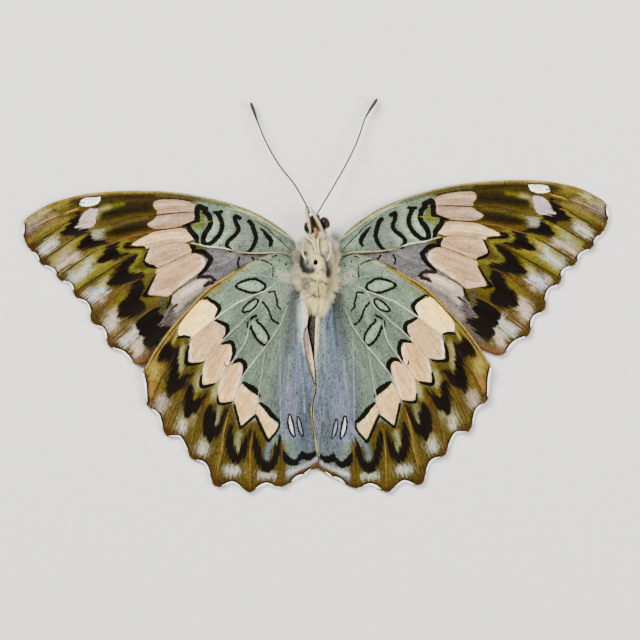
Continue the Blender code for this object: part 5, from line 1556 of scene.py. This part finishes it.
rings, ways = body_surface(THORAX_STATIONS, THORAX_X, 240, FUR_DEPTH + 0.05, 0.03, 40)
flat_rings, flat_ways = rings.reshape(-1, 3), ways.reshape(-1, 3)
step = np.linalg.norm(np.roll(rings, -1, axis=1) - rings, axis=2) + 0.02
share = (step * np.gradient(rings[:, 0, 1])[:, None]).ravel()
from_hole = np.hypot(flat_rings[:, 0] - PIN_HOLE[0], flat_rings[:, 1] - PIN_HOLE[1])
share = np.where((flat_rings[:, 2] > FUR_FLOOR) & (from_hole > PIN_HOLE_RADIUS + 0.06), share, 0.0)


def fan(roots):
    """Ways that point away from the front of the thorax, on the level, short near their middle."""
    away = (roots - (THORAX_X, 6.3, 0.0)) * (0.8, 1.0, 0.0)
    return away / (np.linalg.norm(away, axis=1, keepdims=True) + 0.4)


def fur_lengths(roots, ways, length):
    """Lengths that differ by a quarter, less on the rear plate and beside the legs. A hair whose tip
    would cover the hole is a third as long."""
    smooth = within(roots[:, :2], np.array(REAR_PLATE)).sum(axis=1) % 2
    beside = np.min([distance_to(roots[:, :2], np.array(path), np.full(len(path), 0.15))
                     for path in LEG_PARTINGS], axis=0)
    length = length * rng.uniform(0.75, 1.25, len(roots)) * (1.0 - 0.35 * smooth)
    length = length * (0.45 + 0.55 * ease(beside / 0.4))
    tip = roots[:, :2] + length[:, None] * ways[:, :2] - PIN_HOLE
    return np.where(np.hypot(tip[:, 0], tip[:, 1]) < PIN_HOLE_RADIUS + 0.1, 0.33 * length, length)


for name, count, each, length, spread, gather, stout in FUR_COATS:
    picked = rng.choice(len(share), count, p=share / share.sum())
    roots, normals = flat_rings[picked], flat_ways[picked]
    ways = unit(0.25 * normals + 0.9 * fan(roots) + rng.normal(0, 0.28, (count, 3)))
    clump_shade = rng.uniform(0.78, 1.12, (count, 1))
    fur = clumped(name, roots, normals, ways, fur_lengths(roots, ways, length),
                  lambda spots, index: fur_colours(spots) * clump_shade[index], each, spread, gather, stout)
    finish_piece(fur, HAIR)

# %% Long hairs round the thorax
# Longer clumps fill the gaps: a ruff over the neck, a spray over each wing root, and a flat tongue of
# fur that runs back over the folds. Each bunch is an oval of roots on the plan at a given height, with
# the way and length of its clumps.
BUNCHES = [
    # middle x, y, z, spread x, y, way at the root, length, clumps, colour
    (-0.9, 7.15, 3.3, 0.6, 0.4, (-0.35, 0.9, 0.15), 1.0, 34, "#e4daa6"),
    (0.2, 7.2, 3.4, 0.7, 0.4, (0.0, 1.0, 0.1), 0.9, 40, "#dcc484"),
    (1.3, 7.0, 3.3, 0.5, 0.4, (0.35, 0.9, 0.15), 1.0, 34, "#c4baa8"),
    (-1.5, 6.4, 3.0, 0.35, 0.6, (-0.8, 0.6, 0.0), 1.4, 26, "#c4ba94"),
    (1.9, 6.2, 3.0, 0.35, 0.6, (0.8, 0.6, 0.0), 1.4, 26, "#c4b998"),
    (-1.8, 5.2, 2.8, 0.3, 0.9, (-1.0, 0.3, -0.1), 1.4, 26, "#968b6e"),
    (2.2, 5.0, 2.8, 0.3, 0.9, (1.0, 0.3, -0.1), 1.4, 26, "#bcb190"),
    (-1.8, 3.4, 2.7, 0.3, 1.0, (-1.0, 0.1, -0.2), 1.4, 30, "#c8bc98"),
    (2.2, 3.2, 2.7, 0.3, 1.0, (1.0, 0.1, -0.2), 1.4, 30, "#e4d6a8"),
    (-1.6, 1.7, 2.5, 0.3, 0.8, (-1.0, -0.2, -0.1), 1.6, 30, "#f6e2a0"),
    (2.0, 1.6, 2.5, 0.3, 0.8, (1.0, -0.2, -0.1), 1.6, 30, "#fce8a4"),
    (-1.1, 0.3, 2.7, 0.4, 0.6, (-0.6, -0.8, 0.0), 1.4, 30, "#d4ccb0"),
    (1.5, 0.2, 2.7, 0.4, 0.6, (0.5, -0.8, 0.0), 1.2, 30, "#f0e6bc"),
    (-0.2, -0.5, 3.1, 0.6, 0.4, (-0.15, -1.0, 0.1), 1.7, 44, "#ffec9c"),
    (0.7, -0.5, 3.1, 0.6, 0.4, (0.1, -1.0, 0.1), 1.7, 44, "#ffee9e"),
    (0.75, 8.15, 3.95, 0.4, 0.12, (-0.7, -0.6, 0.2), 0.7, 16, "#fff6d0"),
    (1.55, 8.3, 3.8, 0.2, 0.15, (0.6, 0.7, 0.2), 0.6, 10, "#fff8dc"),
    (-0.1, -1.4, 3.1, 0.5, 0.5, (-0.1, -1.0, 0.0), 1.3, 30, "#fce898"),
    (0.5, -1.5, 3.1, 0.45, 0.5, (0.0, -1.0, 0.0), 1.4, 30, "#ffec9c"),
]
BUNCH_EACH = 30
roots, ways, lengths, tints = [], [], [], []
for x, y, z, wide, deep, way, length, count, colour in BUNCHES:
    angle, out = rng.uniform(0, 2 * math.pi, count), np.sqrt(rng.uniform(0, 1, count))
    roots.append(np.stack([x + wide * out * np.cos(angle), y + deep * out * np.sin(angle),
                           z - 0.4 * out ** 2 + rng.normal(0, 0.05, count)], axis=1))
    ways.append(unit(unit(np.array(way)) + rng.normal(0, 0.22, (count, 3)) * (1, 1, 0.5)))
    lengths.append(length * rng.uniform(0.55, 1.1, count))
    tints.append(linear(colour) * rng.uniform(0.65, 1.2, (count, 1)))
roots, ways, lengths, tints = (np.concatenate(part) for part in (roots, ways, lengths, tints))
upwards = np.zeros_like(roots) + (0.0, 0.0, 1.0)


def bunch_tints(spots):
    """A factor on the colour of a bunch: the dark seams where the fur ends over the folds."""
    skin = blank(spots[:, :2], "#ffffff")
    for colour, width, soft, strength, path in FUR_STROKES_AND_SHADE[-2:]:
        wash(skin, colour, path, width, soft, strength)
    return skin["ground"] ** 2


bunches = clumped("thorax_long_hairs", roots, upwards, ways, lengths,
                  lambda spots, index: bunch_tints(spots) * tints[index], BUNCH_EACH, 0.2, 1.0, 0.032)
finish_piece(bunches, HAIR)
print("hairs on the thorax:", sum(coat[1] * coat[2] for coat in FUR_COATS) + len(roots) * BUNCH_EACH)

# %% [markdown]
# ## Head, eyes and mouth parts
# The head is turned a little to the left. Its sides are hollowed for the big compound eyes, whose
# facets are a fine honeycomb. Two palps covered in long pale scales point forwards, and the coiled
# tongue lies between them, an amber tube rolled up like a watch spring.

# %% Head
HEAD_CENTRE = np.array([0.2, 9.35, 2.35])
HEAD_RADII = np.array([1.15, 1.35, 1.25])
HEAD_TURN = math.radians(16.0)
EYE_OFFSET = 1.12
EYE_RADII = np.array([0.70, 0.95, 0.95])


def turned(points, angle):
    """Turns points about the Z axis: x cos - y sin, x sin + y cos."""
    x, y = points[..., 0], points[..., 1]
    return np.stack([x * math.cos(angle) - y * math.sin(angle), x * math.sin(angle) + y * math.cos(angle),
                     points[..., 2]], axis=-1)


def ball(radii, sides, rings):
    """Rings of an ellipsoid with its poles on Y: (a sin p cos q, -b cos p, c sin p sin q)."""
    p = np.linspace(0.0, math.pi, rings + 1)[1:-1, None]
    q = np.linspace(0.0, 2 * math.pi, sides, endpoint=False)[None, :]
    return np.stack([radii[0] * np.sin(p) * np.cos(q), -radii[1] * np.cos(p) + 0.0 * q,
                     radii[2] * np.sin(p) * np.sin(q)], axis=-1)


head_rings = ball(HEAD_RADII - 0.12, 64, 40)
for side in (-1.0, 1.0):
    offset = head_rings - (side * EYE_OFFSET, 0.0, 0.0)
    size = EYE_RADII + 0.16
    depth = np.linalg.norm(offset / size, axis=-1, keepdims=True)
    pushed = np.where(depth < 1.0, offset / np.maximum(depth, 0.2), offset)
    head_rings = np.where(depth < 1.0, head_rings + (pushed - offset) * (1.0, 0.0, 0.0) * 0.9, head_rings)
head = loft("head_shell", turned(head_rings, HEAD_TURN) + HEAD_CENTRE, flip=True)
finish_piece(head, CUTICLE, ["head"])

# %% Hair of the head
# Short brown hair stands on the head between the eyes, paler towards the neck.
HEAD_HAIRS = 2600
spots = turned(head_rings, HEAD_TURN).reshape(-1, 3)
spots = spots[(np.abs(head_rings[..., 0].ravel()) < 0.55) & (spots[:, 2] > -0.6)]
spots = spots[rng.integers(0, len(spots), HEAD_HAIRS)] + rng.normal(0, 0.03, (HEAD_HAIRS, 3))
ways = unit(spots / HEAD_RADII ** 2) + rng.normal(0, 0.25, (HEAD_HAIRS, 3))
neck = ease((0.2 - spots[:, 1:2]) / 0.9)
tints = (linear("#1e1009") * (1 - neck) + linear("#7a6844") * neck) * rng.uniform(0.6, 1.4, (HEAD_HAIRS, 1))
head_hair = spikes("head_hair", spots + HEAD_CENTRE, ways, ways + (0, 0.5, 0),
                   rng.uniform(0.25, 0.5, HEAD_HAIRS), 0.05, tints)
finish_piece(head_hair, HAIR)

# %% Eyes
# Compound eye: clear domed lenses over dark pigment, so glossy under a dry grain. A facet is about
# 0.02 mm across, drawn at 0.09 mm so that the honeycomb shows.
FACET = 0.09
EYE, tree, shader = new_material("compound_eye_lenses")
place = node(tree, "TexCoord")
facets = node(tree, "TexVoronoi", {"Vector": place.outputs["Object"], "Scale": 1.0 / (FACET * MM),
                                   "Randomness": 0.25}, feature='DISTANCE_TO_EDGE')
tone = node(tree, "TexNoise", {"Vector": place.outputs["Object"], "Scale": 0.9 / MM, "Detail": 2.0})
shade = node(tree, "MixRGB", {"Fac": tone.outputs["Fac"], "Color1": (*linear("#0c0403"), 1),
                              "Color2": (*linear("#260e08"), 1)})
dome = node(tree, "MapRange", {"Value": facets.outputs["Distance"], "From Max": 0.35})
bump = node(tree, "Bump", {"Height": dome.outputs["Result"], "Strength": 0.5, "Distance": 0.015 * MM})
connect(tree, shader, {"Base Color": shade.outputs["Color"], "Normal": bump.outputs["Normal"],
                       "Roughness": 0.36, "Specular IOR Level": 0.15, "Coat Weight": 0.08,
                       "Coat Roughness": 0.12})

for name, side in (("left_eye", -1.0), ("right_eye", 1.0)):
    rings = turned(ball(EYE_RADII, 64, 40) + (side * EYE_OFFSET, 0.0, 0.0), HEAD_TURN) + HEAD_CENTRE
    finish_piece(loft(name + "_lenses", rings, flip=True), EYE, [name])

# %% Tubes along a path
def tube_rings(path, radii, sides, steps=10, squash=1.0):
    """Rings of changing radius carried along a smooth path, flattened upwards by the squash, with
    the path's direction, the sideways and the upward way at each ring."""
    curve = smooth_curve(path, steps)
    radius = np.interp(length_shares(curve), np.linspace(0.0, 1.0, len(radii)), radii)[:, None, None]
    ahead = unit(np.gradient(curve, axis=0))
    sideways = unit(np.cross(ahead, (0.0, 0.0, 1.0)))
    upwards = np.cross(sideways, ahead)
    angle = np.linspace(0.0, 2 * math.pi, sides, endpoint=False)[None, :, None]
    around = np.cos(angle) * sideways[:, None] + squash * np.sin(angle) * upwards[:, None]
    return curve[:, None] + radius * around, around + 0.0 * curve[:, None], ahead


TUBE_SIDES = 16
TUBE_CORE = 0.72        # the tube's share of the radius, so that its scales end where the radius does
LEAN = 2.6              # how much more a scale's way leads along the tube than out of it


def scaled_tube(name, path, radii, count, length, tint_of, stout):
    """A tube covered in scales that lie along it: roots on the rings, ways mostly forwards. It
    stands for the solid of the same name."""
    rings, around, ahead = tube_rings(path, [TUBE_CORE * r for r in radii], TUBE_SIDES, 12)
    core = loft(name + "_core", rings, flip=True)
    ring = rng.integers(0, len(rings) - 2, count)
    side = rng.integers(0, TUBE_SIDES, count)
    share = rng.uniform(0, 1, (count, 1))
    roots = rings[ring, side] * (1 - share) + rings[ring + 1, side] * share
    ways = unit(around[ring, side])
    start = ways + LEAN * ahead[ring] + rng.normal(0, 0.25, (count, 3))
    end = 0.15 * ways + LEAN * ahead[ring] + rng.normal(0, 0.15, (count, 3))
    tints = tint_of(ring / len(rings), ways) * rng.uniform(0.75, 1.15, (count, 1))
    hairs = spikes(name + "_scales", roots, start, end, length * rng.uniform(0.7, 1.2, count), stout, tints)
    finish_piece(core, CUTICLE, [name])
    finish_piece(hairs, HAIR)

# %% Palps
LEFT_PALP = [(-0.62, 8.15, 3.95), (-0.72, 9.0, 4.2), (-0.98, 10.3, 4.15), (-1.37, 11.76, 3.7)]
RIGHT_PALP = [(1.45, 8.2, 3.75), (0.98, 8.75, 4.1), (0.4, 9.85, 4.2), (-0.71, 11.84, 3.7)]
PALP_RADII = (0.14, 0.24, 0.26, 0.03)
PALP_SCALES = 3600
PALP_CREAM = "#e2cf9c"
PALP_SHADE_BROWN = "#241206"


def palp_tints(share, ways):
    """Cream, and dark brown on the side that faces +X, away from the key lamp: painted shade."""
    inner = ease((ways[:, 0] - 0.25) / 0.5)[:, None]
    return linear(PALP_CREAM) * (1 - inner) + linear(PALP_SHADE_BROWN) * inner


for name, path in (("left_palp", LEFT_PALP), ("right_palp", RIGHT_PALP)):
    scaled_tube(name, path, PALP_RADII, PALP_SCALES, 0.34, palp_tints, 0.055)

# %% Tongue
# Amber chitin: a thin tube, glossy and slightly see-through, with a ring groove about every 0.05 mm.
AMBER, tree, shader = new_material("amber_chitin")
place = node(tree, "TexCoord")
rib = node(tree, "TexWave", {"Vector": place.outputs["Object"], "Scale": 2.6 / MM, "Distortion": 0.6},
           bands_direction='Y')
shade = node(tree, "MixRGB", {"Fac": rib.outputs["Fac"], "Color1": (*linear("#5a3412"), 1),
                              "Color2": (*linear("#a5702c"), 1)})
bump = node(tree, "Bump", {"Height": rib.outputs["Fac"], "Strength": 0.3, "Distance": 0.02 * MM})
connect(tree, shader, {"Base Color": shade.outputs["Color"], "Normal": bump.outputs["Normal"],
                       "Roughness": 0.3, "Subsurface Weight": 0.15,
                       "Subsurface Radius": (0.0004, 0.0002, 0.0001)})

COIL_CENTRE = (0.14, 8.3, 4.45)
COIL_SIZE = (0.80, 0.47)
COIL_TUBE = 0.13
COIL_TURNS = 2.6
turn = np.linspace(0.0, 1.0, 90)
angle = 2 * math.pi * COIL_TURNS * turn + 0.6
inwards = 1.0 - 0.78 * turn
coil = np.stack([COIL_CENTRE[0] + 0.4 * (turn - 0.5),
                 COIL_CENTRE[1] + (COIL_SIZE[0] * inwards) * np.cos(angle),
                 COIL_CENTRE[2] + (COIL_SIZE[1] * inwards) * np.sin(angle)], axis=1)


def coil_rings(path, radius, sides):
    """Rings round a path in the plane X = constant: sideways is X, and the third way is their cross."""
    ahead = unit(np.gradient(path, axis=0))
    sideways = np.broadcast_to((1.0, 0.0, 0.0), path.shape)
    third = unit(np.cross(ahead, sideways))
    angle = np.linspace(0.0, 2 * math.pi, sides, endpoint=False)[None, :, None]
    around = np.cos(angle) * sideways[:, None] + np.sin(angle) * third[:, None]
    return path[:, None] + radius[:, None, None] * around


tongue = loft("tongue_coil", coil_rings(coil, COIL_TUBE * (1.0 - 0.45 * turn), 14))
finish_piece(tongue, AMBER, ["proboscis"])

# %% [markdown]
# ## Antennae
# An antenna is a chain of some fifty short segments that ends in a slim club. Carrying a profile
# with a small bead for each segment along the path gives the joints as real shape.

# %% Antennae
LEFT_ANTENNA = [
    (-0.8, 11.05, 2.1),
    (-1.15, 11.97, 2.0),
    (-2.8, 14.9, 1.7),
    (-4.9, 17.6, 1.4),
    (-6.6, 20.5, 1.1),
    (-7.7, 23.05, 0.9),
    (-8.65, 25.7, 0.7),
    (-8.85, 26.3, 0.65),
]
RIGHT_ANTENNA = [
    (0.22, 10.95, 2.2),
    (0.53, 11.5, 2.1),
    (2.2, 14.3, 1.8),
    (4.3, 18.0, 1.4),
    (5.8, 21.2, 1.1),
    (6.8, 24.1, 0.9),
    (8.07, 26.2, 0.7),
    (8.5, 26.8, 0.65),
]
SHAFT_RADIUS = 0.105
CLUB_RADIUS = 0.235
SEGMENTS = 52
ANTENNA_SIDES = 14
CLUB_START = 0.80

# Antenna: brown chitin under short scales, reddish on the club, with pale rings at the joints.
ANTENNA, tree, shader = new_material("antenna_chitin")
place = node(tree, "TexCoord")
grit = node(tree, "TexNoise", {"Vector": place.outputs["Object"], "Scale": 9.0 / MM, "Detail": 3.0})
shade = node(tree, "MapRange", {"Value": grit.outputs["Fac"], "To Min": 0.6, "To Max": 1.4})
tint = node(tree, "Attribute", attribute_name="tint")
colour = node(tree, "HueSaturation", {"Color": tint.outputs["Color"], "Value": shade.outputs["Result"]})
bump = node(tree, "Bump", {"Height": grit.outputs["Fac"], "Strength": 0.3, "Distance": 0.015 * MM})
connect(tree, shader, {"Base Color": colour.outputs["Color"], "Normal": bump.outputs["Normal"],
                       "Roughness": 0.5, "Specular IOR Level": 0.3})

for name, path in (("left_antenna", LEFT_ANTENNA), ("right_antenna", RIGHT_ANTENNA)):
    shares = np.linspace(0.0, 1.0, 12 * SEGMENTS)
    radii = SHAFT_RADIUS + (CLUB_RADIUS - SHAFT_RADIUS) * ease((shares - CLUB_START) / 0.16)
    radii = radii * np.sqrt(np.clip((1.0 - shares) / 0.02, 0.02, 1.0))
    bead = np.abs(np.sin(math.pi * SEGMENTS * shares))
    radii = radii * (0.84 + 0.16 * np.sqrt(bead))
    line = along(smooth_curve(path, 24), shares)
    rings, around, ahead = tube_rings(line, radii, ANTENNA_SIDES, 1)
    made = loft(name + "_segments", rings, flip=True)
    red = ease((shares - CLUB_START + 0.05) / 0.15)[:, None]
    tint = linear("#1c0f0b") * (1 - red) + linear("#2a110b") * red
    tint = tint + (1 - ease(bead / 0.3))[:, None] * 0.16 * (linear("#7a6650") - tint)
    rows = np.repeat(tint, ANTENNA_SIDES, axis=0)
    store(made, "tint", np.vstack([rows, tint[:1], tint[-1:]]))
    finish_piece(made, ANTENNA, [name])

# %% [markdown]
# ## Legs
# The legs folded against the thorax when the insect dried. Only the first two pairs show, as ridges
# of cream scales, shaded below in paint, with a line of painted shadow in the fur beside them. Each
# is a bent tube under scales that lie along it.

# %% Legs
LEG_RADII = (0.08, 0.13, 0.13, 0.06)
LEG_SCALES = 2400
FORELEG_LIFT = 0.56
MIDLEG_LIFT = 0.34
LEFT_FORELEG = [(-1.7, 7.9, 3.7), (-1.0, 7.6, 4.4), (-0.42, 7.1, 5.0), (-0.15, 6.5, 0.0), (0.08, 5.6, 0.0)]
RIGHT_FORELEG = [(0.5, 8.0, 4.4), (0.36, 7.35, 4.9), (0.32, 6.6, 0.0), (0.45, 5.6, 0.0)]
LEFT_MIDLEG = [(-1.6, 6.95, 3.6), (-1.75, 6.3, 0.0), (-1.68, 5.4, 0.0), (-1.3, 4.7, 0.0)]
RIGHT_MIDLEG = [(1.85, 7.25, 3.6), (2.05, 6.4, 0.0), (1.95, 5.4, 0.0), (1.6, 4.6, 0.0)]


def on_thorax(path, lift):
    """Leg points given no height lie on the thorax: m + (h + lift) root(1 - ((x - x0) / (w + lift))^2)."""
    path = np.array(path)
    curve = smooth_curve(THORAX_STATIONS, 16)
    width, middle, height = (np.interp(path[:, 1], curve[:, 0], curve[:, axis]) for axis in (1, 2, 3))
    across = np.minimum(np.abs(path[:, 0] - THORAX_X) / (width + lift), 0.98)
    top = middle + (height + lift) * np.sqrt(1.0 - across ** 2)
    path[:, 2] = np.where(path[:, 2] > 0.0, path[:, 2], top)
    return path


def leg_tints_shaded_below(share, ways):
    """Cream above, and grey-brown where the scales face down: painted shade underneath."""
    low = ease((0.35 - ways[:, 2]) / 0.4)[:, None]
    return linear("#efe2b4") * (1 - low) + linear("#241c12") * low


LEGS = {"left_foreleg": (LEFT_FORELEG, FORELEG_LIFT), "right_foreleg": (RIGHT_FORELEG, FORELEG_LIFT),
        "left_midleg": (LEFT_MIDLEG, MIDLEG_LIFT), "right_midleg": (RIGHT_MIDLEG, MIDLEG_LIFT)}
for name, (path, lift) in LEGS.items():
    scaled_tube(name, on_thorax(path, lift), LEG_RADII, LEG_SCALES, 0.26, leg_tints_shaded_below, 0.045)

# %% [markdown]
# ## Abdomen
# The abdomen is almost hidden under the inner folds of the hindwings. Its rings overlap like a
# telescope, which a saw-tooth on the radius gives, and short dark scales cover it.

# %% Abdomen
ABDOMEN_STATIONS = [
    (-1.3, 0.6, 1.4, 0.6),
    (-1.8, 0.95, 1.35, 0.95),
    (-3.2, 1.15, 1.35, 1.15),
    (-6.0, 1.15, 1.35, 1.12),
    (-9.0, 0.95, 1.2, 0.95),
    (-11.5, 0.7, 0.95, 0.7),
    (-13.0, 0.42, 0.75, 0.45),
    (-13.8, 0.15, 0.7, 0.18),
]
SEGMENT_LENGTH = 1.55
ABDOMEN_SIDES = 48
ABDOMEN_SCALES = 6000

rings, ways = body_surface(ABDOMEN_STATIONS, 0.0, ABDOMEN_SIDES, 0.06, 0.0, 16)
tooth = -rings[..., 1] / SEGMENT_LENGTH % 1.0
rings = rings + ways * (0.06 * tooth[..., None] - 0.04)
rings[..., 2] = np.maximum(rings[..., 2], 0.12)
abdomen = loft("abdomen_rings", rings)
finish_piece(abdomen, CUTICLE, ["abdomen"])
ring = rng.integers(2, len(rings) - 2, ABDOMEN_SCALES)
side = rng.integers(0, ABDOMEN_SIDES, ABDOMEN_SCALES)
start_way = 0.5 * ways[ring, side] + (0.0, -1.0, 0.0) + rng.normal(0, 0.15, (ABDOMEN_SCALES, 3))
pale = ease((-8.0 - rings[ring, side][:, 1:2]) / 1.5)
down = linear("#1c100a") * (1 - pale) + linear("#a39870") * pale
down = down * rng.uniform(0.4, 1.4, (ABDOMEN_SCALES, 1))
cover = spikes("abdomen_scales", rings[ring, side], start_way, start_way - (0, 0.6, 0), 0.32, 0.09, down)
finish_piece(cover, HAIR)
